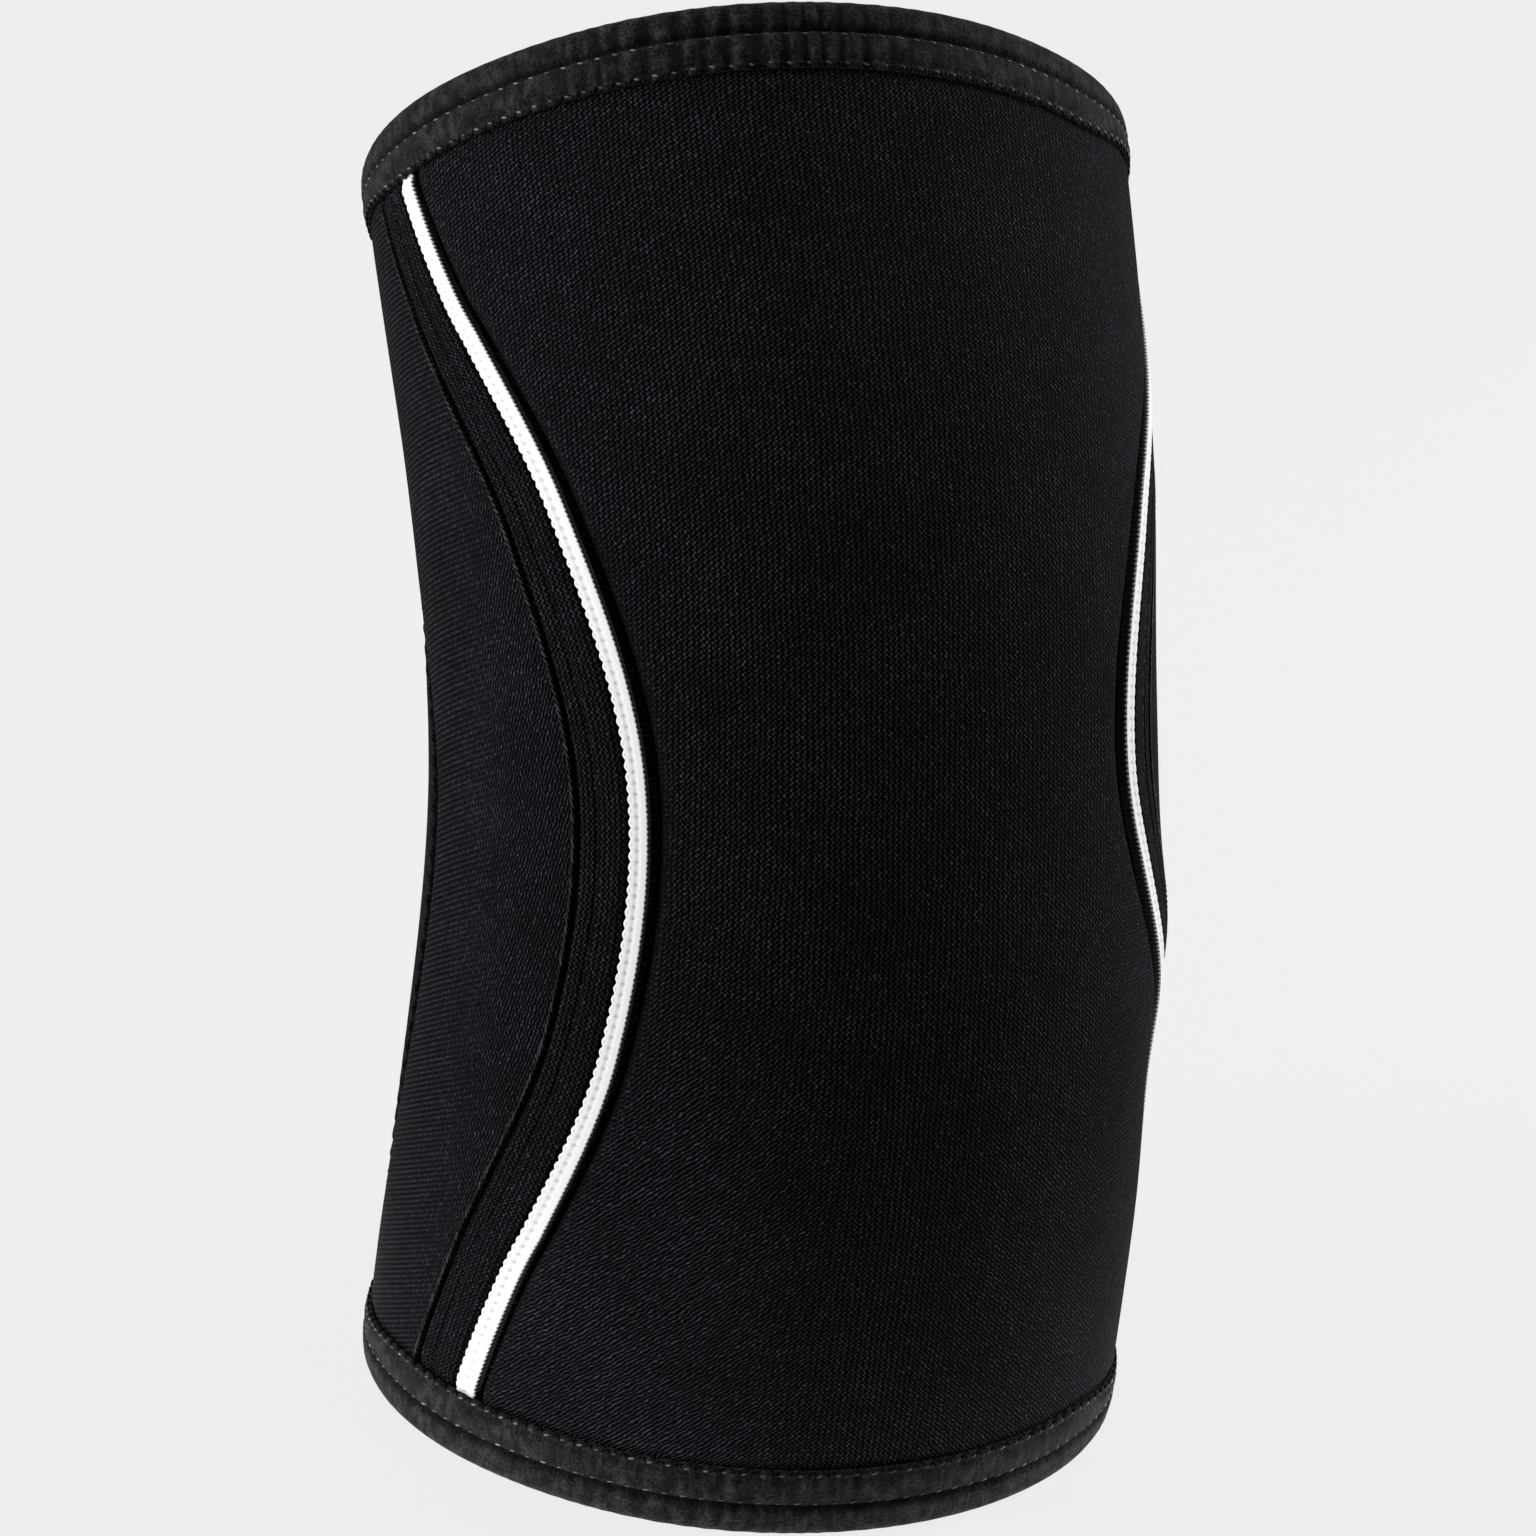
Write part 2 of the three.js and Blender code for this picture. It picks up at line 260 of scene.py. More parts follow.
def table_curve(table, column):
    """A smooth curve through one column of a table, read at shares of the sleeve's length."""
    values = np.array([row[column] for row in table], float)
    last = len(values) - 1

    def read(share):
        place = np.clip(share, 0, 1) * last
        first = np.floor(place).astype(int)
        part = place - first
        before, start, end, after = (values[np.clip(first + k, 0, last)] for k in (-1, 0, 1, 2))
        rise_in = (end - before) / 2
        rise_out = (after - start) / 2
        cubic = 2 * start - 2 * end + rise_in + rise_out
        square = 3 * end - 3 * start - 2 * rise_in - rise_out
        return ((cubic * part + square) * part + rise_in) * part + start

    return read


class Wall:
    """The sleeve's wall: points by distance along it, angle round it and depth below its outer face."""

    MEAN_RADIUS = 51 * MM
    MIDDLE = (0.5, 0.28)  # half way along, and how wide the middle is, as shares of the length
    SQUEEZE_RAMP = (0.2 * MM, 2.0 * MM)  # from the tape's edge to where the wall has its full thickness
    WIDER = 0.35  # share that the piping is wider at the lower rim
    WIDER_RUN = (5 * MM, 65 * MM)  # where that share runs out
    NARROWER = 0.45  # share that the tape is narrower where it is stretched most
    STRETCHED = {"right": (44, 74), "left": (75, 108), "back": (125, 170)}  # degrees, from none to all
    PROBE = 0.05 * MM  # step along the wall to find its directions

    def __init__(self, sizes):
        self.sizes = sizes
        self.widths = table_curve(SECTIONS, "half_width")
        self.depths = table_curve(SECTIONS, "half_depth")
        self.bands = table_curve(SEAMS, "band")
        low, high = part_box("bottom_binding")
        self.rim_middle = (low.y + high.y) / 2

    def half_width(self, along):
        """Half of the tube's outer width."""
        return MM * self.widths(along / self.sizes.length)

    def half_depth(self, along):
        """Half of the tube's outer depth, from front to back."""
        return MM * self.depths(along / self.sizes.length)

    def rim_length(self):
        """Once round a rim."""
        return math.pi * float(self.half_width(0.0) + self.half_depth(0.0))

    def band_width(self, along):
        """Width of a seam band."""
        return MM * self.bands(along / self.sizes.length)

    def seam(self, column):
        """A seam as angles along the sleeve."""
        degrees = table_curve(SEAMS, column)
        return lambda along: np.radians(degrees(along / self.sizes.length))

    def centre_line(self, along):
        """Straight, then an arc that leans back, then straight again."""
        straight = self.sizes.straight_end
        arc = self.sizes.length - 2 * straight
        radius = arc / self.sizes.bend
        lean = self.sizes.bend * np.clip((along - straight) / arc, 0, 1)
        past = np.maximum(along - straight - arc, 0)
        y = radius * (1 - np.cos(lean)) + past * np.sin(lean)
        z = np.minimum(along, straight) + radius * np.sin(lean) + past * np.cos(lean)
        return y, z, lean

    def swell(self, along, angle):
        """Height of the swells and dents at a place on the wall."""
        height = np.zeros(np.broadcast(along, angle).shape)
        for row in SWELLS:
            up = bump(along / MM, row["along"], row["along_spread"])
            height += row["height"] * MM * up * bump(np.degrees(angle), row["angle"], row["angle_spread"])
        return height

    def point(self, along, angle, depth):
        """Places in the row frame, one row of three for each point."""
        y, z, lean = self.centre_line(along)
        wide = self.half_width(along)
        deep = self.half_depth(along)
        out_side = np.sin(angle) / wide
        out_front = np.cos(angle) / deep
        size = np.hypot(out_side, out_front)
        reach = self.swell(along, angle) - depth
        side = wide * np.sin(angle) + out_side / size * reach
        front = deep * np.cos(angle) + out_front / size * reach
        back = y - front * np.cos(lean) + self.rim_middle
        up = z + front * np.sin(lean)
        return np.stack(np.broadcast_arrays(side, back, up), axis=-1)

    def cloth_place(self, along, angle):
        """Millimetres across and along the cloth as it lies flat, for the knit."""
        lean = self.centre_line(along)[2]
        across = angle * self.MEAN_RADIUS
        up = along + self.half_depth(along) * np.cos(angle) * lean
        return np.stack(np.broadcast_arrays(across, up), axis=-1) / MM

    def middle_share(self, along):
        """1 half way along the sleeve, falling off towards the rims."""
        return bump(along / self.sizes.length, *self.MIDDLE)

    def piping_start(self, along):
        """From the seam to the piping."""
        sizes = self.sizes
        return sizes.rim_inset + (sizes.piping_inset - sizes.rim_inset) * self.middle_share(along)

    def piping_width(self, along):
        """The piping spreads towards the lower rim, where the wall curves less."""
        return self.sizes.piping_width * (1 + self.WIDER * (1 - smooth_step(along, *self.WIDER_RUN)))

    def tape_rise(self, rise, angle):
        """Distance from the rim of a place on the tape, which is stretched narrower at the sides."""
        turn = np.degrees(np.arctan2(np.sin(angle), np.cos(angle)))
        right = smooth_step(turn, *self.STRETCHED["right"])
        left = smooth_step(-turn, *self.STRETCHED["left"])
        back = smooth_step(np.abs(turn), *self.STRETCHED["back"])
        narrowed = np.where(turn > 0, right, left) * (1 - back)
        rim = self.sizes.rim_round
        return np.minimum(rise, rim) + np.maximum(rise - rim, 0) * (1 - self.NARROWER * narrowed)

    def squeezed(self, along, angle, depth):
        """The depth of a layer once the bindings squeeze the wall at the rims."""
        start, end = self.SQUEEZE_RAMP
        tape_edge = self.tape_rise(self.sizes.binding_height, angle)
        from_edge = np.minimum(along, self.sizes.length - along) - tape_edge
        grip = 1 - smooth_step(from_edge, start, end)
        thinned = self.sizes.squeeze + depth * self.sizes.squeezed_wall / self.sizes.wall
        return depth * (1 - grip) + thinned * grip

    def beside(self, seam, along, distance):
        """The angle that lies a distance beside a seam, measured square to the seam."""
        angle = seam(along)
        radius = np.hypot(self.half_width(along) * np.cos(angle), self.half_depth(along) * np.sin(angle))
        slant = (seam(along + MM) - seam(along - MM)) / (2 * MM) * radius
        return angle + distance * np.hypot(1, slant) / radius

    def band_edge(self, seam, sign):
        """Where a seam band ends and the side panel starts."""
        return lambda along: self.beside(seam, along, sign * self.band_width(along))

    def path_run(self, seam, along):
        """Length along a seam, from the lower rim."""
        steps = np.linspace(0, self.sizes.length, PATH_STEPS)
        places = self.point(steps, seam(steps), 0)
        runs = np.concatenate([[0], np.cumsum(np.linalg.norm(np.diff(places, axis=0), axis=1))])
        return np.interp(along, steps, runs)

    def axes(self, along, angle, depth):
        """Places on the wall with their directions round, up and out."""
        place = self.point(along, angle, depth)
        around = self.point(along, angle + self.PROBE / self.MEAN_RADIUS, depth) - place
        up = self.point(along + self.PROBE, angle, depth) - place
        parts = (around, up, np.cross(around, up))
        around, up, out = (part / np.linalg.norm(part, axis=1, keepdims=True) for part in parts)
        return place, around, up, out


def place_mesh(name, mesh, material):
    """A mesh as a smooth object that rides on the sleeve."""
    mesh.shade_smooth()
    mesh.materials.append(material)
    piece = bpy.data.objects.new(name, mesh)
    bpy.context.scene.collection.objects.link(piece)
    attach(piece, "root")
    return piece


def new_object(name, bm, material):
    """A finished shape as an object."""
    mesh = bpy.data.meshes.new(name)
    bm.to_mesh(mesh)
    bm.free()
    return place_mesh(name, mesh, material)


def number_grid(columns, rows):
    """A flat grid whose X and Y count its columns and rows."""
    bm = bmesh.new()
    bmesh.ops.create_grid(bm, x_segments=columns, y_segments=rows, size=0.5)
    bmesh.ops.translate(bm, vec=(0.5, 0.5, 0), verts=bm.verts)
    bmesh.ops.scale(bm, vec=(columns, rows, 1), verts=bm.verts)
    return bm


def move_vertices(bm, places):
    """Puts each vertex of a shape in its place."""
    for vertex, place in zip(bm.verts, places):
        vertex.co = place


def set_cloth_places(piece, places, turn=0.0):
    """Writes places on the flat cloth, in millimetres and turned, as the piece's UV map."""
    across, up = places.T
    sine = math.sin(turn)
    cosine = math.cos(turn)
    places = np.stack([across * cosine + up * sine, up * cosine - across * sine], axis=-1)
    mesh = piece.data
    corners = np.zeros(len(mesh.loops), int)
    mesh.loops.foreach_get("vertex_index", corners)
    layer = mesh.uv_layers.new(name="cloth")
    layer.data.foreach_set("uv", places[corners].astype(np.float32).ravel())


def set_shares(piece, **shares):
    """Writes numbers at each vertex, for the materials."""
    for name, values in shares.items():
        attribute = piece.data.attributes.new(name, "FLOAT", "POINT")
        attribute.data.foreach_set("value", np.asarray(values, np.float32))


def wall_strip(name, wall, material, columns, alongs, lay):
    """A closed strip of wall: a grid with an outer and an inner face, laid on the sleeve.

    lay takes columns, distances along and which points are on the inner face, and gives angles, depths,
    and distances from a cut edge or from the seam.
    """
    bm = number_grid(columns, len(alongs) - 1)
    made = bmesh.ops.extrude_face_region(bm, geom=bm.faces[:])
    inner_face = [item for item in made["geom"] if isinstance(item, bmesh.types.BMVert)]
    bmesh.ops.translate(bm, vec=(0, 0, 1), verts=inner_face)
    grid = np.array([vertex.co for vertex in bm.verts])
    column = np.rint(grid[:, 0]).astype(int)
    along = alongs[np.rint(grid[:, 1]).astype(int)]
    inner = grid[:, 2] > 0.5
    angle, depth, edge = lay(column, along, inner)
    move_vertices(bm, wall.point(along, angle, wall.squeezed(along, angle, depth)))
    bmesh.ops.recalc_face_normals(bm, faces=bm.faces)
    return new_object(name, bm, material), along, angle, edge


def panel_alongs(sizes, rows):
    """Even rows from rim to rim, inside the tape."""
    end = sizes.rim_cap + sizes.seam_gap
    return np.linspace(end, sizes.length - end, rows + 1)


def edge_profile(run, drop):
    """Distances from a cut edge and depths there, along a quarter of an ellipse."""
    turn = np.linspace(0, math.pi / 2, EDGE_STEPS + 1)
    return run * (1 - np.cos(turn)), drop * (1 - np.sin(turn))


class Node:
    """Short ways to add nodes to a shader tree."""

    def __init__(self, tree):
        self.tree = tree

    def add(self, kind, **settings):
        """A new node with its settings."""
        made = self.tree.nodes.new(kind)
        for name, value in settings.items():
            setattr(made, name, value)
        return made

    def feed(self, socket, value):
        """Links a node's output to a socket, or sets a plain value there."""
        if isinstance(value, bpy.types.NodeSocket):
            self.tree.links.new(value, socket)
        else:
            socket.default_value = value

    def math(self, operation, *values, clamp=False):
        made = self.add("ShaderNodeMath", operation=operation, use_clamp=clamp)
        for socket, value in zip(made.inputs, values):
            self.feed(socket, value)
        return made.outputs[0]

    def vector(self, operation, *values):
        made = self.add("ShaderNodeVectorMath", operation=operation)
        for socket, value in zip(made.inputs, values):
            self.feed(socket, value)
        return made.outputs[0]

    def scaled(self, vector, scale):
        made = self.add("ShaderNodeVectorMath", operation="SCALE")
        self.feed(made.inputs[0], vector)
        self.feed(made.inputs["Scale"], scale)
        return made.outputs[0]

    def noise(self, vector, scale, detail, output="Fac"):
        made = self.add("ShaderNodeTexNoise")
        self.feed(made.inputs["Vector"], vector)
        self.feed(made.inputs["Scale"], scale)
        self.feed(made.inputs["Detail"], detail)
        return made.outputs[output]

    def stray(self, vector, scale, reach):
        """A smooth shift to all sides, up to half of reach."""
        shift = self.noise(vector, scale, 1.0, "Color")
        return self.scaled(self.vector("SUBTRACT", shift, (0.5, 0.5, 0.5)), reach)

    def cloth_place(self):
        """Millimetres on the flat cloth."""
        return self.add("ShaderNodeUVMap", uv_map="cloth").outputs[0]

    def share(self, name):
        """Numbers that the piece has at its vertices."""
        return self.add("ShaderNodeAttribute", attribute_name=name).outputs["Fac"]

    def split(self, vector):
        """The X and Y of a vector."""
        made = self.add("ShaderNodeSeparateXYZ")
        self.feed(made.inputs[0], vector)
        return made.outputs["X"], made.outputs["Y"]

    def mix(self, share, first, second):
        """A colour between two colours."""
        made = self.add("ShaderNodeMix", data_type="RGBA")
        self.feed(made.inputs[0], share)
        self.feed(made.inputs[6], first)
        self.feed(made.inputs[7], second)
        return made.outputs[2]

    def between(self, value, low, high, new_low=0.0, new_high=1.0):
        """Maps low to new_low and high to new_high, with nothing past them."""
        made = self.add("ShaderNodeMapRange")
        for socket, item in zip(made.inputs, (value, low, high, new_low, new_high)):
            self.feed(socket, item)
        return made.outputs[0]


def new_group(name, inputs, outputs):
    """An empty shader group with its sockets, and its input and output nodes."""
    group = bpy.data.node_groups.new(name, "ShaderNodeTree")
    for socket, kind, default in inputs:
        made = group.interface.new_socket(name=socket, in_out="INPUT", socket_type=kind)
        if default is not None:
            made.default_value = default
    for socket in outputs:
        group.interface.new_socket(name=socket, in_out="OUTPUT", socket_type="NodeSocketFloat")
    node = Node(group)
    return node, node.add("NodeGroupInput").outputs, node.add("NodeGroupOutput").inputs


def knit_group():
    """Jersey: loops in two sets of slanted lines that cross, gathered into columns.

    Leg light is a painted highlight: it brings out the lines that rise to the right (-1) or to the left
    (1), as the side lights pick them out, and Rib turns the loops into the ribs that the knit shows from
    the side.
    """
    value = "NodeSocketFloat"
    node, given, put = new_group(
        "jersey_knit",
        (
            ("Place", "NodeSocketVector", None),
            ("Wale", value, 0.78),
            ("Course", value, 0.76),
            ("Lean", value, 0.0),
            ("Rib", value, 0.0),
            ("Rib run", value, 0.0),
        ),
        ("Fleck", "Height"),
    )
    line_share, leg_light_gain, column_share = 0.35, 0.4, 0.3
    loop_low, loop_high = -0.05, 0.75
    rib_pitch, rib_low, rib_high, rib_even = 0.72, -0.4, 0.8, 0.75
    dullest, rib_dulling = 0.35, 0.35
    slow = node.stray(given["Place"], 0.09, 0.8)
    quick = node.stray(given["Place"], 0.9, 0.62)
    across, up = node.split(node.vector("ADD", node.vector("ADD", given["Place"], slow), quick))
    wale = node.math("DIVIDE", across, given["Wale"])
    course = node.math("DIVIDE", up, given["Course"])
    rising_run = node.math("SUBTRACT", course, wale)
    falling_run = node.math("ADD", course, wale)
    rising = node.math("COSINE", node.math("MULTIPLY", rising_run, FULL_TURN))
    falling = node.math("COSINE", node.math("MULTIPLY", falling_run, FULL_TURN))
    column = node.math("SINE", node.math("MULTIPLY", wale, FULL_TURN))
    # Painted highlight: Leg light moves the light from one set of slanted legs to the other
    rising_gain = node.math("MULTIPLY_ADD", given["Lean"], -leg_light_gain, line_share)
    falling_gain = node.math("MULTIPLY_ADD", given["Lean"], leg_light_gain, line_share)
    leaning = node.math("ABSOLUTE", given["Lean"])
    column_gain = node.math("MULTIPLY_ADD", leaning, -column_share, column_share)
    loop = node.math("MULTIPLY", rising, rising_gain)
    loop = node.math("MULTIPLY_ADD", falling, falling_gain, loop)
    loop = node.math("MULTIPLY_ADD", column, column_gain, loop)
    loop = node.between(loop, loop_low, loop_high)
    rib = node.math("COSINE", node.math("MULTIPLY", given["Rib run"], FULL_TURN / rib_pitch))
    rib = node.between(rib, rib_low, rib_high)
    rib = node.math("MULTIPLY", rib, node.math("MULTIPLY_ADD", column, 1 - rib_even, rib_even))
    plain = node.math("MULTIPLY", loop, node.math("SUBTRACT", 1.0, given["Rib"]))
    height = node.math("ADD", plain, node.math("MULTIPLY", rib, given["Rib"]))
    cell = node.add("ShaderNodeCombineXYZ")
    node.feed(cell.inputs[0], node.math("ROUND", rising_run))
    node.feed(cell.inputs[1], node.math("ROUND", falling_run))
    chance = node.add("ShaderNodeTexWhiteNoise", noise_dimensions="2D")
    node.feed(chance.inputs["Vector"], cell.outputs[0])
    lucky = node.math("POWER", chance.outputs["Value"], 3.0)
    strength = node.math("MULTIPLY_ADD", lucky, 1 - dullest, dullest)
    # Lit crest: painted highlight on the loops' tops and painted shade between them, each loop with its
    # own random strength
    crest = node.math("MULTIPLY", height, node.math("MULTIPLY_ADD", given["Rib"], -rib_dulling, 1.0))
    node.feed(put["Fleck"], node.math("MULTIPLY", crest, strength))
    node.feed(put["Height"], height)
    return node.tree


def shared_knit():
    """The jersey's group, made once."""
    return bpy.data.node_groups.get("jersey_knit") or knit_group()


def new_material(name, roughness, specular, sheen, sheen_roughness=0.5):
    """A cloth with the numbers that are the same all over it."""
    material = bpy.data.materials.new(name)
    material.use_nodes = True
    node = Node(material.node_tree)
    shader = material.node_tree.nodes["Principled BSDF"].inputs
    shader["Roughness"].default_value = roughness
    shader["Specular IOR Level"].default_value = specular
    shader["Sheen Weight"].default_value = sheen
    shader["Sheen Roughness"].default_value = sheen_roughness
    return material, node, shader


def colour(value):
    """A colour with its opacity, as shader sockets take it."""
    return (*value, 1.0)


def set_relief(node, shader, height, depth, strength):
    """Relief of the given depth in metres."""
    relief = node.add("ShaderNodeBump")
    relief.inputs["Strength"].default_value = strength
    relief.inputs["Distance"].default_value = depth
    node.feed(relief.inputs["Height"], height)
    node.feed(shader["Normal"], relief.outputs[0])


def jersey_material(name, finish, course_scale=1.0, brightness=1.0):
    """Black knitted jersey, with broad patches that are a little lighter or darker, a painted highlight
    on the loops' tops with painted shade between them, and painted shade that the piece's attribute
    places by its seams.
    """
    patch_scale, patch_spread = 0.06, 0.2
    relief_depth, relief_strength = 0.2 * MM, 0.9
    material, node, shader = new_material(name, roughness=0.9, specular=0.02, sheen=0.006)
    place = node.cloth_place()
    cloth = node.add("ShaderNodeGroup", node_tree=shared_knit())
    node.feed(cloth.inputs["Place"], place)
    node.feed(cloth.inputs["Wale"], finish.wale)
    node.feed(cloth.inputs["Course"], finish.course * course_scale)
    for socket, share in (("Lean", "lean"), ("Rib", "rib"), ("Rib run", "rib_run")):
        node.feed(cloth.inputs[socket], node.share(share))
    darkest = (1 - patch_spread) * brightness
    lightest = (1 + patch_spread) * brightness
    patches = node.between(node.noise(place, patch_scale, 2.0), 0.3, 0.7, darkest, lightest)
    # Painted shade from the piece's attribute, times broad random patches
    tone = node.math("MULTIPLY", node.share("tone"), patches)
    lit_crest = node.math("MULTIPLY", cloth.outputs["Fleck"], tone)
    # The jersey's painted highlight and painted shade, mixed
    cloth_colour = node.mix(lit_crest, colour(finish.jersey_shaded), colour(finish.jersey_lit))
    node.feed(shader["Base Color"], cloth_colour)
    set_relief(node, shader, cloth.outputs["Height"], relief_depth, relief_strength)
    return material


def tape_material(finish, sewn_row):
    """Brushed stretch tape: matted hairs combed across it, browner by the rim, with a little lint, and
    painted shade in the valley beside the sewn row and in the folds of its gathers.
    """
    combed = (1.0, 0.45, 1.0)
    streak_scale, tuft_scale, patch_scale, lint_scale = 0.9, 2.4, 0.3, 1.9
    # How dark the painted shade gets in the valley by the sewn row, and in the gathers' folds
    row_offset, valley_shade = 0.35, 0.15
    fold_shade, lint_light = 0.85, 0.5
    smooth_pile, smooth_gain = 0.2, 0.7
    rim_blend = 0.2
    relief_depth, relief_strength = 0.2 * MM, 0.8
    material, node, shader = new_material("brushed_tape", roughness=0.95, specular=0.03, sheen=0.03)
    place = node.cloth_place()
    streaks = node.noise(node.vector("MULTIPLY", place, combed), streak_scale, 3.0)
    tufts = node.noise(place, tuft_scale, 3.0)
    patches = node.between(node.noise(place, patch_scale, 1.0), 0.3, 0.7, 0.4, 1.1)
    lint = node.between(node.noise(place, lint_scale, 0.0), 0.74, 0.8)
    pile = node.math("ADD", node.math("MULTIPLY", streaks, 0.5), node.math("MULTIPLY", tufts, 0.5))
    pile = node.between(pile, 0.41, 0.63)
    rise = node.math("ABSOLUTE", node.split(place)[1])
    # Painted shade in the valley beside the sewn row
    from_row = node.math("ABSOLUTE", node.math("SUBTRACT", rise, sewn_row - row_offset))
    tone = node.math("MULTIPLY", patches, node.between(from_row, 0.15, 0.85, valley_shade, 1.0))
    # Painted shade in the folds of the gathers
    tone = node.math("MULTIPLY", tone, node.math("MULTIPLY_ADD", node.share("fold"), -fold_shade, 1.0))
    tuft = node.share("tuft")
    smooth = node.math("MULTIPLY_ADD", tuft, -smooth_pile, smooth_pile)
    gain = node.math("MULTIPLY_ADD", tuft, 1 - smooth_gain, smooth_gain)
    pile = node.math("MULTIPLY_ADD", pile, gain, smooth)
    bright = node.math("MULTIPLY_ADD", pile, tone, node.math("MULTIPLY", lint, lint_light), clamp=True)
    by_rim = node.between(rise, sewn_row + rim_blend, sewn_row - rim_blend)
    lit = node.mix(by_rim, colour(finish.tape_lit), colour(finish.rim_lit))
    node.feed(shader["Base Color"], node.mix(bright, colour(finish.tape_deep), lit))
    set_relief(node, shader, pile, relief_depth, relief_strength)
    return material


def piping_material(finish):
    """White braid with a random grey grain, painted shade in its low places, and painted shade on its
    flanks, with teeth of black thread along the edge by the seam.
    """
    grain_scale, grain_grey = 3.2, 0.25
    relief_depth, relief_strength = 0.05 * MM, 0.5
    material, node, shader = new_material("white_piping", roughness=0.75, specular=0.2, sheen=0.1)
    grain = node.noise(node.cloth_place(), grain_scale, 3.0)
    grey = node.between(grain, 0.5, 0.8, 0.0, grain_grey)
    # Painted shade in the low places, with random grey grain
    shade = node.math("ADD", node.share("low"), grey, clamp=True)
    white = node.mix(shade, colour(finish.piping), colour(finish.piping_shade))
    # Painted shade on the flanks, and black teeth of thread on the edge by the seam
    sewn = node.between(node.share("flank"), 0.1, 0.3)
    node.feed(shader["Base Color"], node.mix(sewn, white, colour(finish.black_thread)))
    set_relief(node, shader, grain, relief_depth, relief_strength)
    return material


def thread_material(name, thread_colour, specular):
    """Sewing thread, some stitches of which catch more light."""
    dull_share = 0.1
    material, node, shader = new_material(name, roughness=0.5, specular=specular, sheen=0.0)
    dull = colour(dull_share * part for part in thread_colour)
    node.feed(shader["Base Color"], node.mix(node.share("shine"), dull, colour(thread_colour)))
    return material


def cut_size(wall, left, right, sizes):
    """Greatest width and length of a panel as cut, and its flat area, in metres and square metres."""
    alongs = panel_alongs(sizes, CUT_ROWS)
    shares = np.linspace(0, 1, CUT_COLUMNS)
    angles = left(alongs)[:, None] * (1 - shares) + right(alongs)[:, None] * shares
    places = wall.point(alongs[:, None], angles, 0)
    across = np.linalg.norm(np.diff(places, axis=1), axis=2)
    up = np.linalg.norm(np.diff(places, axis=0), axis=2)
    area = float((across[1:].reshape(-1) * up[:, 1:].reshape(-1)).sum())
    return float(across.sum(1).max()), float(up.sum(0).max()), area


def dress_cloth(node_name, cut):
    """Hides the solid that the piece stands for; the flat cloth it was cut from is not used."""
    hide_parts(node_name)


def panel_piece(name, wall, material, columns, left, right, edges, look, turn=0.0):
    """A panel between two seams, with rounded edges that the stitches pucker a little.

    edges names the looks of its left and right edge, turn is how far its knit is turned from the sleeve's
    length, and look gives the knit's painted leg light, ribs and painted shade.
    """
    sizes = wall.sizes
    insets, runs, drops, puckers, rim_shares = zip(*(EDGES[edge].values() for edge in edges))
    turns = np.linspace(0, math.pi / 2, EDGE_STEPS + 1)

    def lay(column, along, inner):
        step = np.minimum(np.minimum(column, columns - column), EDGE_STEPS)
        rounding = 1 - np.cos(turns)[step]
        on_left = column < columns / 2
        middle = wall.middle_share(along)
        left_full, right_full = (share + (1 - share) * middle for share in rim_shares)
        left_inset, right_inset = (np.where(inner & (step == 0), -SEAM_LAP, inset) for inset in insets)
        from_left = wall.beside(left, along, (left_inset + runs[0] * left_full * rounding) * MM)
        from_right = wall.beside(right, along, -(right_inset + runs[1] * right_full * rounding) * MM)
        share = np.clip((column - EDGE_STEPS) / (columns - 2 * EDGE_STEPS), 0, 1)
        angle = from_left * (1 - share) + from_right * share
        edge = np.minimum(angle - left(along), right(along) - angle) * wall.MEAN_RADIUS
        pull = 0.5 - 0.5 * np.cos(FULL_TURN * along / PUCKER_PITCH)
        fall = 1 - np.sin(turns)[step]
        pucker = np.where(on_left, *puckers) * pull * bump(edge, 0, PUCKER_REACH)
        drop = np.where(on_left, drops[0] * left_full, drops[1] * right_full)
        outer_depth = (drop * fall + pucker) * MM
        inner_depth = sizes.wall - sizes.inner_round * fall
        return angle, np.where(inner, inner_depth, outer_depth), edge

    alongs = panel_alongs(sizes, PANEL_ROWS)
    piece, along, angle, edge = wall_strip(name, wall, material, columns, alongs, lay)
    set_cloth_places(piece, wall.cloth_place(along, angle), turn)
    set_shares(piece, **look(along, angle, edge))
    dress_cloth(name, cut_size(wall, left, right, sizes))


def seam_painted_shade(edge):
    """Painted shade where an edge turns into its seam."""
    darkest = 0.1
    return darkest + (1 - darkest) * smooth_step(edge, 0.2 * MM, 0.9 * MM)


def trench_painted_shade(wall, along, edge):
    """Painted shade beside the trench of the piping, most of all half way along."""
    darkest = 0.15
    shaded = (1.1 + 1.7 * wall.middle_share(along)) * MM
    return darkest + (1 - darkest) * smooth_step(edge / shaded, 0.1, 1)


def front_leg_light(along, angle):
    """Painted leg light on the front: the side lights' highlight falls on the rising legs left of the
    front's middle and on the falling legs right of it, and less so above the point of the elbow.
    """
    middle, spread = 5, 35
    upright = 0.8 * smooth_step(along, 40 * MM, 85 * MM)
    return np.clip((np.degrees(angle) - middle) / spread, -0.9, 0.35) * (1 - upright)


def panel_look(wall, along, angle, edge, left, right):
    """Knit with a little painted leg light, short ribs square to the cut edges, and painted shade where
    the edges turn into their seams.
    """
    # Painted leg light: the side lights' highlight on one set of the knit's legs
    lean = 0.3
    ribbed = 0.4
    nearer_left = angle - left(along) < right(along) - angle
    run = np.where(nearer_left, wall.path_run(left, along), wall.path_run(right, along))
    rib = ribbed * (1 - smooth_step(edge, MM, 3 * MM))
    return {"lean": np.full(len(along), lean), "rib": rib, "rib_run": run / MM, "tone": seam_painted_shade(edge)}


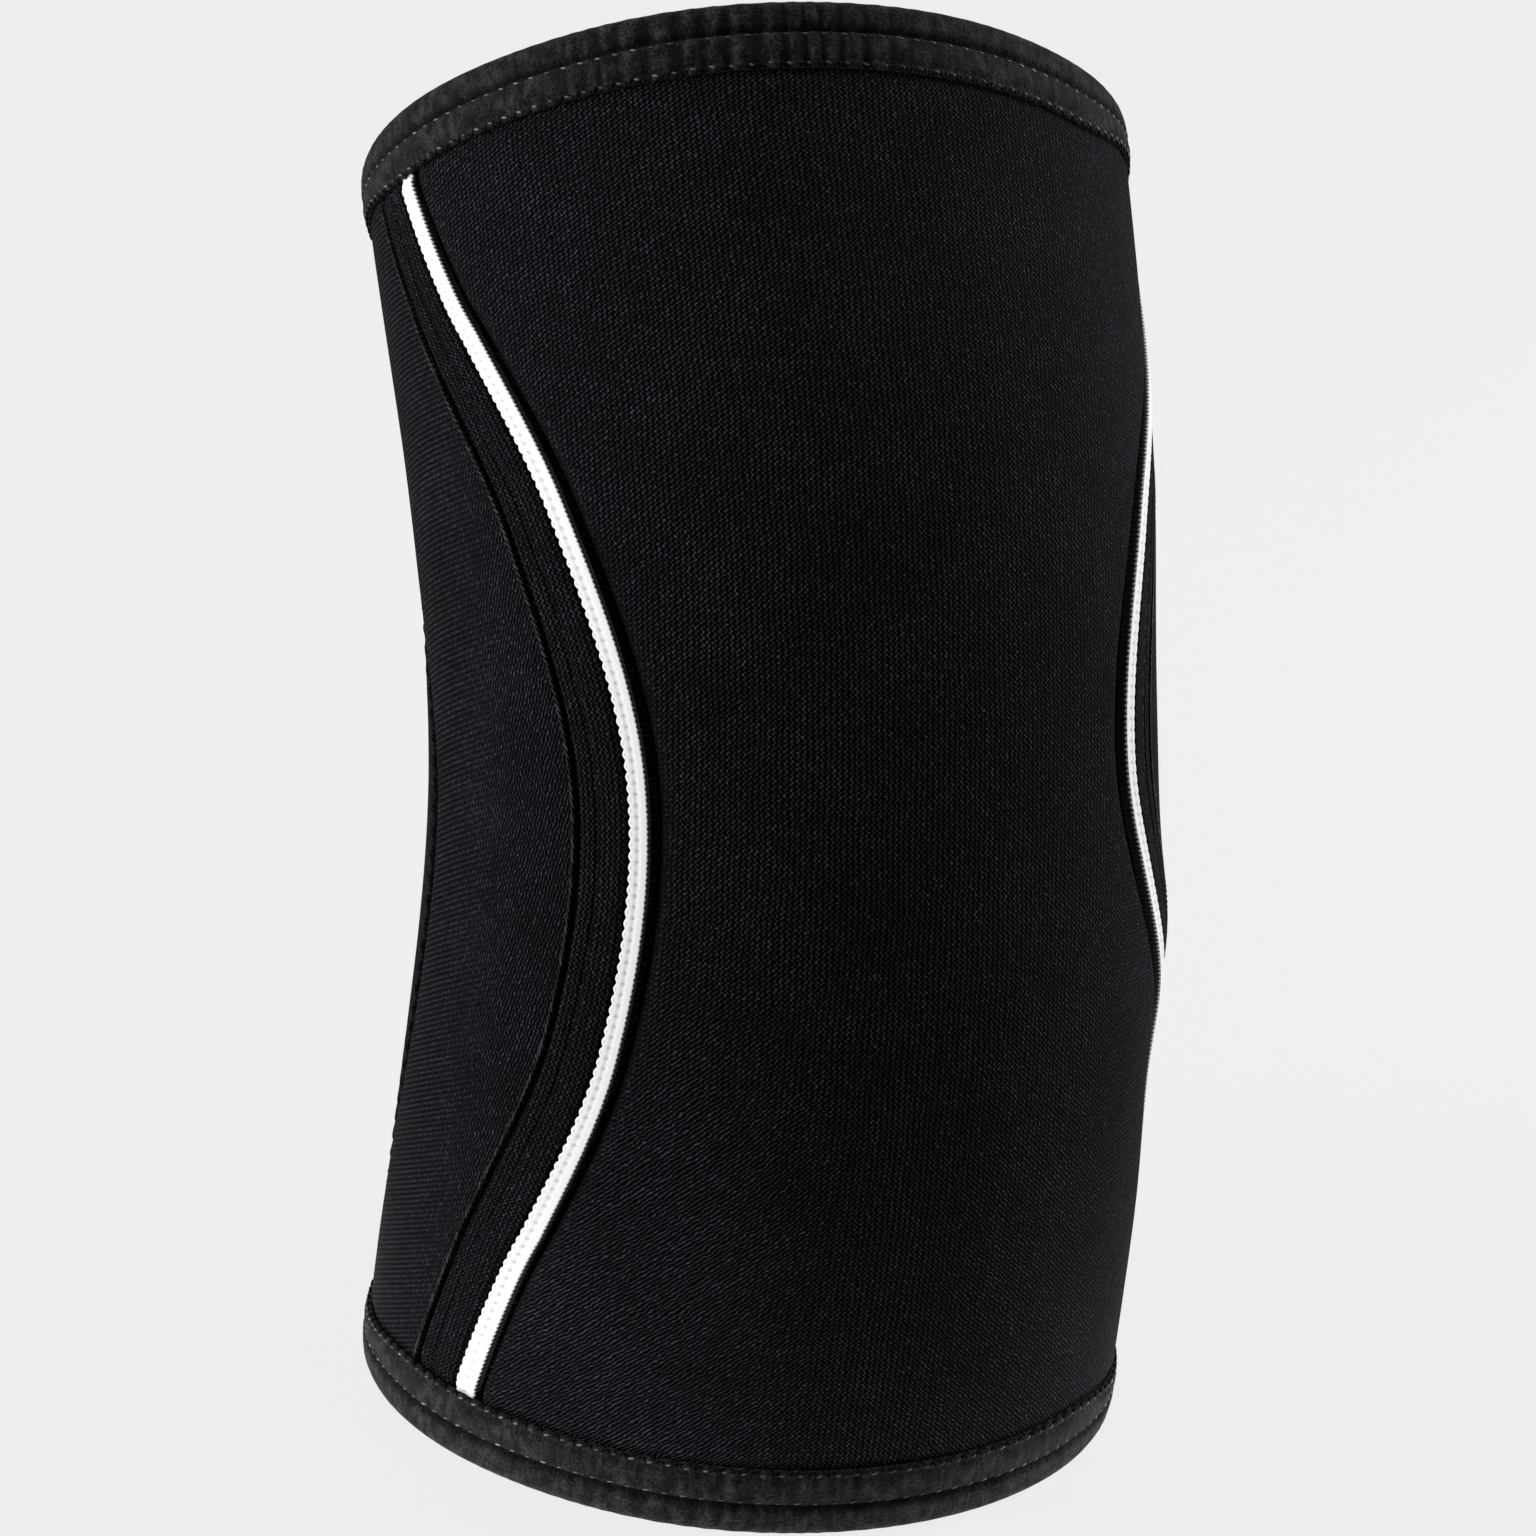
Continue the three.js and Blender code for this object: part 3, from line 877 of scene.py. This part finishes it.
def side_panel_look(wall, along, angle, edge):
    """Slanted knit that shows as ribs where the panel turns from the front."""
    # Painted leg light: the side lights' highlight on the other set of the knit's legs
    lean = -0.4
    ribbed = 0.8
    rib = ribbed * smooth_step(np.abs(np.degrees(angle)), 60, 86)
    across, up = wall.cloth_place(along, angle).T
    run = up * math.cos(SIDE_TURN) + np.abs(across) * math.sin(SIDE_TURN)
    return {"lean": np.full(len(along), lean), "rib": rib, "rib_run": run, "tone": seam_painted_shade(edge)}


class SLEEVE_OT_panels(bpy.types.Operator):
    """Makes the front, side and back panels of knitted wall."""

    bl_idname = "sleeve.panels"
    bl_label = "Panels"

    def execute(self, context):
        wall = Wall(context.scene.sleeve_sizes)
        finish = context.scene.sleeve_finish
        jersey = jersey_material("jersey", finish)
        side_jersey = jersey_material("side_jersey", finish, brightness=0.95)
        left_front = wall.seam("left_front")
        left_rear = wall.seam("left_rear")
        right_front = wall.seam("right_front")
        right_rear = wall.seam("right_rear")
        left_edge = wall.band_edge(left_front, -1)
        right_edge = wall.band_edge(right_front, 1)

        def left_rear_round(along):
            """The left rear seam, counted on from the right one."""
            return left_rear(along) + FULL_TURN

        def front_look(along, angle, edge):
            ribbed = 0.5
            rib_start, rib_full = 36, 62
            look = panel_look(wall, along, angle, edge, left_front, right_front)
            look["lean"] = front_leg_light(along, angle)
            # Painted shade beside the piping's trench
            look["tone"] = trench_painted_shade(wall, along, edge)
            side_rib = ribbed * smooth_step(np.degrees(angle), rib_start, rib_full)
            look["rib"] = np.maximum(look["rib"], side_rib)
            return look

        def side_look(along, angle, edge):
            return side_panel_look(wall, along, angle, edge)

        def back_look(along, angle, edge):
            return panel_look(wall, along, angle, edge, right_rear, left_rear_round)

        front = (FRONT_COLUMNS, left_front, right_front, ("piped", "piped"))
        left = (SIDE_COLUMNS, left_rear, left_edge, ("rear", "corded"))
        right = (SIDE_COLUMNS, right_edge, right_rear, ("corded", "rear"))
        back = (BACK_COLUMNS, right_rear, left_rear_round, ("lip", "lip"))
        panel_piece("front_panel", wall, jersey, *front, front_look)
        panel_piece("side_panel_left", wall, side_jersey, *left, side_look, SIDE_TURN)
        panel_piece("side_panel_right", wall, side_jersey, *right, side_look, -SIDE_TURN)
        panel_piece("back_panel", wall, jersey, *back, back_look)
        return {"FINISHED"}


def band_piece(name, wall, material, seam, sign):
    """A seam band: the trench and the seat of the piping, then plain band with a sewn line by its edge.

    Its profile is pairs of distance and depth, near ones from the piping and far ones from the band's
    edge.
    """
    sizes = wall.sizes
    seat = sizes.piping_thickness - sizes.piping_proud + sizes.seam_gap
    seat_end = sizes.seam_gap
    gap = sizes.seam_gap / 2
    near_share = 0.8
    near = [
        (0.0, sizes.trench),
        (-0.3 * MM, sizes.trench),
        (-0.1 * MM, seat),
        (seat_end, seat),
        (seat_end + 0.05 * MM, seat * 0.6),
    ]
    near_edge = zip(*edge_profile(sizes.edge_run, sizes.edge_round))
    near += [(seat_end + 0.1 * MM + run, near_share * drop) for run, drop in near_edge]
    corded = EDGES["corded"]
    far_edge = zip(*edge_profile(corded["run"] * MM, corded["drop"] * MM))
    far = [(corded["inset"] * MM + run, drop) for run, drop in far_edge]
    far += [((TOPSTITCH + offset) * MM, drop * MM) for offset, drop in SEWN_LINE_DIP]
    far.reverse()
    last = len(near) + BAND_PLAIN_COLUMNS + len(far) - 1

    def lay(column, along, inner):
        stop = column if sign > 0 else last - column
        width = wall.band_width(along)
        from_near = np.array([distance for distance, _ in near])
        from_far = np.array([distance for distance, _ in far])
        plain = np.clip((stop - len(near) + 1) / (BAND_PLAIN_COLUMNS + 1), 0, 1)
        start = wall.piping_start(along) + from_near[np.clip(stop, 0, len(near) - 1)]
        start = start + wall.piping_width(along) * (stop >= SEAT_STOP)
        start = np.where(stop == 0, gap, start)
        end = width - from_far[np.clip(stop - len(near) - BAND_PLAIN_COLUMNS, 0, len(far) - 1)]
        distance = start * (1 - plain) + end * plain
        distance = np.where(inner & (stop == 0), -SEAM_LAP * MM, distance)
        distance = np.where(inner & (stop == last), width + SEAM_LAP * MM, distance)
        plain_drops = [(0.0, 0.0)] * BAND_PLAIN_COLUMNS
        drops_at = np.array([drop for _, drop in near + plain_drops + far])
        inner_drop = sizes.inner_round * ((stop == 0) | (stop == last))
        depth = np.where(inner, sizes.wall - inner_drop, drops_at[stop])
        return wall.beside(seam, along, sign * distance), depth, distance

    alongs = panel_alongs(sizes, PANEL_ROWS)
    piece, along, angle, across = wall_strip(name, wall, material, last, alongs, lay)
    set_cloth_places(piece, np.stack([across, wall.path_run(seam, along)], axis=-1) / MM)
    plain = np.zeros(len(along))
    # The bands have no painted leg light and no painted shade
    set_shares(piece, lean=plain, rib=plain, rib_run=plain, tone=plain + 1)
    edge_line = wall.band_edge(seam, sign)
    low, high = (seam, edge_line) if sign > 0 else (edge_line, seam)
    dress_cloth(name, cut_size(wall, low, high, sizes))


class SLEEVE_OT_bands(bpy.types.Operator):
    """Makes the seam bands beside the front panel."""

    bl_idname = "sleeve.bands"
    bl_label = "Seam bands"

    def execute(self, context):
        wall = Wall(context.scene.sleeve_sizes)
        finish = context.scene.sleeve_finish
        jersey = jersey_material("band_jersey", finish, course_scale=1.1, brightness=0.85)
        band_piece("seam_band_left", wall, jersey, wall.seam("left_front"), -1)
        band_piece("seam_band_right", wall, jersey, wall.seam("right_front"), 1)
        return {"FINISHED"}


def piping_piece(name, wall, material, seam, sign):
    """Piping: two ridges with a dimpled groove between them, and scalloped edges."""
    sizes = wall.sizes
    scallop_pitch = 1.55 * MM
    scallop = 0.36 * MM
    fine_scallop = 0.16 * MM
    mean_wave = 0.64
    groove = 0.06 * MM
    dimple = 0.2 * MM
    edge_dimple = 0.7
    tooth = 0.3
    shoulder = 0.35 * MM
    shoulder_start = 0.8
    shares = {}

    def lay(column, along, inner):
        across = column / PIPING_COLUMNS
        run = wall.path_run(seam, along)
        beat = FULL_TURN * run / scallop_pitch
        far_wave = np.abs(np.sin(beat / 2)) - mean_wave
        near_wave = np.abs(np.sin(beat)) - mean_wave
        stray = scallop * far_wave * smooth_step(across, 0.7, 1.0)
        stray -= fine_scallop * near_wave * (1 - smooth_step(across, 0.0, 0.25))
        distance = wall.piping_start(along) + across * wall.piping_width(along) + stray
        rounding = np.clip((2 * across - 1 - shoulder_start) / (1 - shoulder_start), 0, 1)
        centre_dip = bump(across, 0.5, 0.1)
        edge_dip = bump(across, 0.84, 0.07)
        centre_beat = np.maximum(np.cos(beat), 0) ** 3
        edge_beat = np.maximum(-np.cos(beat), 0) ** 3
        low = centre_dip * (0.1 + 0.9 * centre_beat) + edge_dimple * edge_dip * edge_beat
        top = -sizes.piping_proud + groove * centre_dip + dimple * low
        top = top + shoulder * (1 - np.sqrt(1 - rounding * rounding))
        base = sizes.piping_thickness - sizes.piping_proud
        teeth = tooth * (1 - np.abs(np.sin(beat))) * (column == 0)
        # low marks the dimples and groove for painted shade; flank marks the flanks for painted shade,
        # with the thread's teeth on the edge by the seam
        shares["low"] = np.where(inner, 0, low)
        shares["flank"] = np.where(inner, 1, teeth)
        return wall.beside(seam, along, sign * distance), np.where(inner, base, top), distance

    alongs = panel_alongs(sizes, PIPING_ROWS)
    piece, along, angle, across = wall_strip(name, wall, material, PIPING_COLUMNS, alongs, lay)
    set_cloth_places(piece, np.stack([across, wall.path_run(seam, along)], axis=-1) / MM)
    set_shares(piece, **shares)
    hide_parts(name)


class SLEEVE_OT_piping(bpy.types.Operator):
    """Makes the white piping on both sides of the front panel."""

    bl_idname = "sleeve.piping"
    bl_label = "Piping"

    def execute(self, context):
        wall = Wall(context.scene.sleeve_sizes)
        white = piping_material(context.scene.sleeve_finish)
        piping_piece("piping_left", wall, white, wall.seam("left_front"), -1)
        piping_piece("piping_right", wall, white, wall.seam("right_front"), 1)
        return {"FINISHED"}


class Tape:
    """The folded tape of a rim: its section, the dips of its stitches and its gathers."""

    GATHERS = 102  # folds round a rim
    GATHER_DEPTH = 0.26 * MM
    GATHER_SLANT = 0.12  # turn of the folds' wave for each millimetre from the rim
    CROWDING = ((9, 2.0, 0.4), (23, 1.2, 1.9))  # waves that crowd the folds: count, strength, start
    LEAST_FULL = 0.12
    FULLEST = (-16, 26)  # degrees: where the tape is gathered most, and how far that reaches
    EDGE_ROW = 0.9 * MM  # from the tape's edge to its second row
    PINCH = 0.14 * MM

    # Relief of the face in millimetres: how deep (+) or high (-), and how wide
    RELIEF = {
        "valley": (0.75, 0.5),
        "rim_puff": (-0.1, 1.1),
        "strip_puff": (-0.16, 1.5),
        "edge_dip": (0.2, 0.4),
    }
    EDGE_DROP = 0.3 * MM

    def __init__(self, sizes, upper):
        self.sizes = sizes
        self.most = 1.0 if upper else 0.5
        self.outside = -sizes.tape_proud
        self.under = self.outside + sizes.tape
        self.inner_under = sizes.squeeze + sizes.squeezed_wall + sizes.tape_proud
        self.inside = self.inner_under + sizes.tape

    def relief(self, name, rise, middle):
        """One rise or dip of the tape's face."""
        depth, spread = self.RELIEF[name]
        return depth * MM * bump(rise, middle, spread * MM)

    def face(self, rise):
        """Depth of the tape's outer face: two puffed strips with a step at the sewn row between them."""
        row = self.sizes.sewn_row
        edge = self.sizes.binding_height
        step_up = 0.7 * smooth_step(rise, row - 0.25 * MM, row + 0.2 * MM)
        depth = self.outside + self.relief("valley", rise, row - 0.45 * MM) * (1 - step_up)
        depth += self.relief("rim_puff", rise, (self.sizes.rim_round + row) / 2)
        depth += self.relief("strip_puff", rise, (row + edge) / 2)
        depth += self.relief("edge_dip", rise, edge - self.EDGE_ROW)
        return depth + self.EDGE_DROP * smooth_step(rise, edge - 0.4 * MM, edge)

    def section(self):
        """Points of the section in order, as depth and rise."""
        sizes = self.sizes
        rounding = sizes.rim_round
        turns = np.linspace(0, math.pi / 2, RIM_STEPS + 1)[:-1]
        curve = [(rounding * (1 - math.sin(turn)), rounding * (1 - math.cos(turn))) for turn in turns]
        rim = [(self.outside + depth, rise) for depth, rise in curve]
        rises = np.linspace(rounding, sizes.binding_height, OUTER_TAPE_STEPS + 1)
        outer = [(float(self.face(rise)), rise) for rise in rises]
        channel = [
            (self.under, sizes.binding_height),
            (self.under, sizes.rim_cap),
            (self.inner_under, sizes.rim_cap),
            (self.inner_under, sizes.binding_height),
        ]
        inner_rises = np.linspace(sizes.binding_height, rounding, INNER_TAPE_STEPS + 1)
        inner_row = 0.3 * MM * bump(inner_rises, sizes.sewn_row, 0.9 * MM)
        inner = [(self.inside - dip, rise) for rise, dip in zip(inner_rises, inner_row)]
        inner_rim = [(self.inside - depth, rise) for depth, rise in reversed(curve)]
        return rim + outer + channel + inner + inner_rim

    def gather(self, angle, rise):
        """How far the face lies in a fold (1) or on a tuft (-1)."""
        crowd = sum(much * np.sin(count * angle + start) for count, much, start in self.CROWDING)
        waves = np.sin(self.GATHERS * angle + crowd + self.GATHER_SLANT * rise / MM)
        held_by_row = 0.55 * bump(rise, self.sizes.sewn_row, 0.8 * MM)
        held_by_rim = 0.5 * bump(rise, 0, 2 * MM)
        return waves * self.fullness(angle) * (1 - held_by_row - held_by_rim)

    def fullness(self, angle):
        """The tape is gathered most near the middle of the front."""
        gathered = bump(np.degrees(angle), *self.FULLEST)
        return self.most * (self.LEAST_FULL + (1 - self.LEAST_FULL) * gathered)

    def pinch(self, angle, rise, count):
        """Each stitch of the two rows draws the tape in."""
        beat = 0.5 + 0.5 * np.cos(count * angle)
        middle_row = bump(rise, self.sizes.sewn_row + 0.2 * MM, 0.7 * MM)
        edge_row = bump(rise, self.sizes.binding_height - self.EDGE_ROW, 0.6 * MM)
        return self.PINCH * beat * (middle_row + edge_row)


def stitch_count(wall, sizes):
    """Stitches round a rim."""
    return round(wall.rim_length() / sizes.stitch_pitch)


def rim_along(wall, rise, angle, upper):
    """Distance along the sleeve of a place on a rim's tape."""
    rise = wall.tape_rise(rise, angle)
    return wall.sizes.length - rise if upper else rise


def binding_piece(name, wall, material, upper):
    """A binding: a grid closed round the rim one way and round the folded tape's section the other."""
    scallop_depth = 0.24 * MM
    sizes = wall.sizes
    tape = Tape(sizes, upper)
    section = np.array(tape.section())
    bm = number_grid(RING_STEPS, len(section))
    grid = np.rint([vertex.co for vertex in bm.verts]).astype(int)
    angle = FULL_TURN * grid[:, 0] / RING_STEPS - math.pi
    depth, rise = section[grid[:, 1] % len(section)].T
    on_face = 1 - smooth_step(depth, tape.outside + 0.9 * MM, tape.under)
    count = stitch_count(wall, sizes)
    gather = tape.gather(angle, rise) * on_face
    depth = depth + tape.GATHER_DEPTH * gather + on_face * tape.pinch(angle, rise, count)
    by_edge = smooth_step(rise, sizes.binding_height - MM, sizes.binding_height)
    scallop = scallop_depth * np.cos(count * angle) * by_edge * on_face
    along = rim_along(wall, rise + scallop, angle, upper)
    move_vertices(bm, wall.point(along, angle, depth))
    over = np.where(depth > (tape.under + tape.inner_under) / 2, -rise, rise)
    places = np.stack([angle * wall.MEAN_RADIUS, over], axis=-1) / MM
    cloth = bm.loops.layers.uv.new("cloth")
    # fold marks the gathers' folds, where the tape's material paints shade
    shares = {"fold": smooth_step(gather, 0.05, 0.7), "tuft": tape.fullness(angle)}
    for share_name, values in shares.items():
        layer = bm.verts.layers.float.new(share_name)
        for vertex, share in zip(bm.verts, values):
            vertex[layer] = share
    for face in bm.faces:
        for corner in face.loops:
            corner[cloth].uv = places[corner.vert.index]
    rims = [vertex for vertex in bm.verts if vertex.is_boundary]
    bmesh.ops.remove_doubles(bm, verts=rims, dist=0.001 * MM)
    bmesh.ops.recalc_face_normals(bm, faces=bm.faces)
    piece = new_object(name, bm, material)
    width = 2 * sizes.binding_height + tape.inside - tape.outside
    length = wall.rim_length()
    dress_cloth(name, (width, length, width * length))


class SLEEVE_OT_bindings(bpy.types.Operator):
    """Makes the folded tape round both rims."""

    bl_idname = "sleeve.bindings"
    bl_label = "Bindings"

    def execute(self, context):
        wall = Wall(context.scene.sleeve_sizes)
        tape = tape_material(context.scene.sleeve_finish, wall.sizes.sewn_row / MM)
        binding_piece("bottom_binding", wall, tape, upper=False)
        binding_piece("top_binding", wall, tape, upper=True)
        return {"FINISHED"}


def stitch_shape():
    """One stitch of unit size, a drop of thread along Z: its points and its faces."""
    bm = bmesh.new()
    bmesh.ops.create_uvsphere(bm, u_segments=STITCH_SIDES, v_segments=STITCH_RINGS, radius=1)
    bm.verts.index_update()
    points = np.array([vertex.co for vertex in bm.verts])
    faces = [[vertex.index for vertex in face.verts] for face in bm.faces]
    bm.free()
    return points, faces


def sew(name, wall, material, along, angle, depth, length, slant):
    """Joined stitches that lie round the sleeve, each turned by slant towards the sleeve's length."""
    shortest, longest = 0.85, 1.1
    front_dulling, front_spread = 0.8, 28
    points, faces = stitch_shape()
    place, around, up, out = wall.axes(along, angle, depth)
    run = around * np.cos(slant)[:, None] + up * np.sin(slant)[:, None]
    across = np.cross(out, run)
    chance = np.random.default_rng(len(name))
    length = length * chance.uniform(shortest, longest, len(along))
    thread = wall.sizes.thread
    spread = [thread / 2, thread / 2, length[:, None, None] / 2]
    parts = zip((across, out, run), points.T, spread)
    offsets = sum(axis[:, None] * part[None, :, None] * size for axis, part, size in parts)
    shape = place[:, None] + offsets
    starts = range(0, len(along) * len(points), len(points))
    joined = [[start + corner for corner in face] for start in starts for face in faces]
    mesh = bpy.data.meshes.new(name)
    mesh.from_pydata(shape.reshape(-1, 3), [], joined)
    piece = place_mesh(name, mesh, material)
    at_front = bump(np.degrees(angle), 0, front_spread)
    shine = chance.uniform(0, 1, len(along)) ** 2 * (1 - front_dulling * at_front)
    set_shares(piece, shine=np.repeat(shine, len(points)))


def rim_stitches(side, wall, light_thread, dark_thread, upper):
    """Two rows of stitches on a binding, the second one looped over the tape's edge.

    A row has a name, a thread, a distance from the rim, a shift in stitches, and the length and slant of
    its stitches.
    """
    above_tape = 0.05 * MM
    sizes = wall.sizes
    tape = Tape(sizes, upper)
    count = stitch_count(wall, sizes)
    mirror = -1 if upper else 1
    turn = FULL_TURN * np.arange(count) / count - math.pi
    middle_row = sizes.sewn_row + 0.25 * MM
    edge_row = sizes.binding_height - 0.35 * MM
    loop_row = sizes.binding_height - 0.15 * MM
    rows = (
        ("row", light_thread, middle_row, 0.0, MM, 0.2),
        ("edge", light_thread, edge_row, 0.0, 0.95 * MM, 0.35),
        ("loops", dark_thread, loop_row, 0.3, 1.5 * MM, 1.0),
        ("ties", dark_thread, loop_row, 0.62, 1.5 * MM, -1.0),
    )
    for row, thread, rise, shift, length, slant in rows:
        angle = turn + shift * FULL_TURN / count
        drawn_in = tape.GATHER_DEPTH * tape.gather(angle, rise) + tape.pinch(angle, rise, count)
        depth = tape.face(rise) + drawn_in - above_tape
        along = rim_along(wall, rise, angle, upper)
        leaning = np.full(count, mirror * slant)
        sew(f"{side}_{row}", wall, thread, along, angle, depth, length, leaning)


def seam_stitches(name, wall, material, seam, offset, pitch, length, depth, slant):
    """A row of stitches along a seam, offset to its right (+) or left (-)."""
    sizes = wall.sizes

    def line(along):
        return wall.beside(seam, along, offset)

    start = sizes.binding_height + MM
    steps = np.linspace(start, sizes.length - start, PATH_STEPS)
    runs = wall.path_run(line, steps)
    along = np.interp(np.arange(runs[0], runs[-1], pitch), runs, steps)
    angle = line(along)
    heading = np.arctan2(MM, (line(along + MM) - angle) * wall.MEAN_RADIUS)
    below = np.full(len(along), depth)
    sew(name, wall, material, along, angle, below, length, heading + slant)


class SLEEVE_OT_stitches(bpy.types.Operator):
    """Sews the rims, the band edges and the rear seams."""

    bl_idname = "sleeve.stitches"
    bl_label = "Stitches"

    def execute(self, context):
        wall = Wall(context.scene.sleeve_sizes)
        finish = context.scene.sleeve_finish
        grey = thread_material("grey_thread", finish.grey_thread, 0.3)
        black = thread_material("black_thread", finish.black_thread, 0.05)
        twisted = thread_material("cord_thread", finish.cord_thread, 0.1)
        rim_stitches("bottom", wall, grey, black, upper=False)
        rim_stitches("top", wall, grey, black, upper=True)
        topstitch = {"pitch": 2.4 * MM, "length": 1.9 * MM, "depth": 0.22 * MM, "slant": 0.0}
        cord = {"pitch": 1.3 * MM, "length": 2.2 * MM, "depth": 1.05 * MM, "slant": 0.3}
        lip = {"pitch": 1.1 * MM, "length": 1.6 * MM, "depth": 0.1 * MM, "slant": 0.3}
        rear = {"pitch": 1.7 * MM, "length": 2.6 * MM, "depth": 1.2 * MM, "slant": 0.3}
        lip_offset = 0.7 * MM
        for side, sign in (("left", -1), ("right", 1)):
            rear_seam = wall.seam(f"{side}_rear")
            edge = wall.band_edge(wall.seam(f"{side}_front"), sign)
            seam_stitches(f"band_stitches_{side}", wall, black, edge, -sign * TOPSTITCH * MM, **topstitch)
            seam_stitches(f"cord_{side}", wall, black, edge, 0.0, **cord)
            seam_stitches(f"lip_{side}", wall, twisted, edge, sign * lip_offset, **lip)
            seam_stitches(f"rear_stitches_{side}", wall, black, rear_seam, 0.0, **rear)
        return {"FINISHED"}


def direction(azimuth, elevation):
    """The way from the sleeve to a light or the camera."""
    flat = math.cos(elevation)
    return Vector((math.sin(azimuth) * flat, -math.cos(azimuth) * flat, math.sin(elevation)))


def soft_light(name, aim, azimuth, elevation, distance, side, power):
    """A square soft box that faces its aim, and that the camera doesn't see."""
    lamp = bpy.data.lights.new(name, "AREA")
    lamp.shape = "SQUARE"
    lamp.size = side
    lamp.energy = power
    light = bpy.data.objects.new(name, lamp)
    light.visible_camera = False
    bpy.context.scene.collection.objects.link(light)
    back = direction(math.radians(azimuth), math.radians(elevation))
    light.location = aim + back * distance
    light.rotation_mode = "QUATERNION"
    light.rotation_quaternion = (-back).to_track_quat("-Z", "Y")


class SLEEVE_OT_stage(bpy.types.Operator):
    """Sets the floor, the soft lights and the camera."""

    bl_idname = "sleeve.stage"
    bl_label = "Stage"

    def execute(self, context):
        stage = context.scene.sleeve_stage
        aim = Vector(stage.aim)
        self.lay_floor(stage)
        self.set_sky(context.scene, stage)
        for name, light in LIGHTS.items():
            power = getattr(stage, f"{name}_power")
            soft_light(f"{name}_box", aim, distance=LIGHT_DISTANCE, power=power, **light)
        soft_light("foot_box", Vector(stage.foot), 0, -90, 0.0, FOOT_LIGHT_SIDE, stage.foot_power)
        self.set_camera(context.scene, stage, aim)
        context.scene.view_settings.view_transform = "Standard"
        return {"FINISHED"}

    def lay_floor(self, stage):
        """A wide pale floor that gives light of its own."""
        bm = bmesh.new()
        bmesh.ops.create_grid(bm, x_segments=FLOOR_STEPS, y_segments=FLOOR_STEPS, size=FLOOR_HALF)
        mesh = bpy.data.meshes.new("floor")
        bm.to_mesh(mesh)
        bm.free()
        material, _, shader = new_material("pale_floor", roughness=0.9, specular=0.1, sheen=0.0)
        shader["Base Color"].default_value = colour(stage.floor)
        shader["Emission Color"].default_value = WHITE
        shader["Emission Strength"].default_value = stage.floor_glow
        mesh.materials.append(material)
        floor = bpy.data.objects.new("floor", mesh)
        bpy.context.scene.collection.objects.link(floor)

    def set_sky(self, scene, stage):
        """Even light from all round."""
        scene.world = bpy.data.worlds.new("studio")
        scene.world.use_nodes = True
        sky = scene.world.node_tree.nodes["Background"].inputs
        sky["Color"].default_value = WHITE
        sky["Strength"].default_value = stage.sky

    def set_camera(self, scene, stage, aim):
        """The camera at its angle, rolled about its line of sight."""
        data = bpy.data.cameras.new("camera")
        data.sensor_width = SENSOR_WIDTH
        data.lens = stage.lens
        camera = bpy.data.objects.new("camera", data)
        scene.collection.objects.link(camera)
        back = direction(stage.azimuth, stage.elevation)
        right = Vector((math.cos(stage.azimuth), math.sin(stage.azimuth), 0))
        up = back.cross(right)
        tilted_right = right * math.cos(stage.roll) + up * math.sin(stage.roll)
        tilted_up = up * math.cos(stage.roll) - right * math.sin(stage.roll)
        turn = Matrix((tilted_right, tilted_up, back)).transposed().to_4x4()
        camera.matrix_world = Matrix.Translation(aim + back * stage.distance) @ turn
        scene.camera = camera


class SLEEVE_PT_sidebar(bpy.types.Panel):
    """Lists the steps that build the sleeve, and the values a user would change."""

    bl_label = "Elbow sleeve"
    bl_idname = "SLEEVE_PT_sidebar"
    bl_space_type = "VIEW_3D"
    bl_region_type = "UI"
    bl_category = "Sleeve"

    def draw(self, context):
        for operator in OPERATORS:
            self.layout.operator(operator.bl_idname)
        scene = context.scene
        for group in (scene.sleeve_sizes, scene.sleeve_finish, scene.sleeve_stage):
            box = self.layout.box()
            for name in group.__annotations__:
                box.prop(group, name)


GROUPS = (SleeveSizes, SleeveFinish, SleeveStage)
OPERATORS = (
    SLEEVE_OT_stage,
    SLEEVE_OT_panels,
    SLEEVE_OT_bands,
    SLEEVE_OT_piping,
    SLEEVE_OT_bindings,
    SLEEVE_OT_stitches,
)


def register():
    for item in (*GROUPS, *OPERATORS, SLEEVE_PT_sidebar):
        bpy.utils.register_class(item)
    bpy.types.Scene.sleeve_sizes = PointerProperty(type=SleeveSizes)
    bpy.types.Scene.sleeve_finish = PointerProperty(type=SleeveFinish)
    bpy.types.Scene.sleeve_stage = PointerProperty(type=SleeveStage)


def unregister():
    del bpy.types.Scene.sleeve_stage
    del bpy.types.Scene.sleeve_finish
    del bpy.types.Scene.sleeve_sizes
    for item in reversed((*GROUPS, *OPERATORS, SLEEVE_PT_sidebar)):
        bpy.utils.unregister_class(item)


def main():
    register()
    bpy.ops.sleeve.stage()
    bpy.ops.sleeve.panels()
    bpy.ops.sleeve.bands()
    bpy.ops.sleeve.piping()
    bpy.ops.sleeve.bindings()
    bpy.ops.sleeve.stitches()


if __name__ == "__main__":
    main()
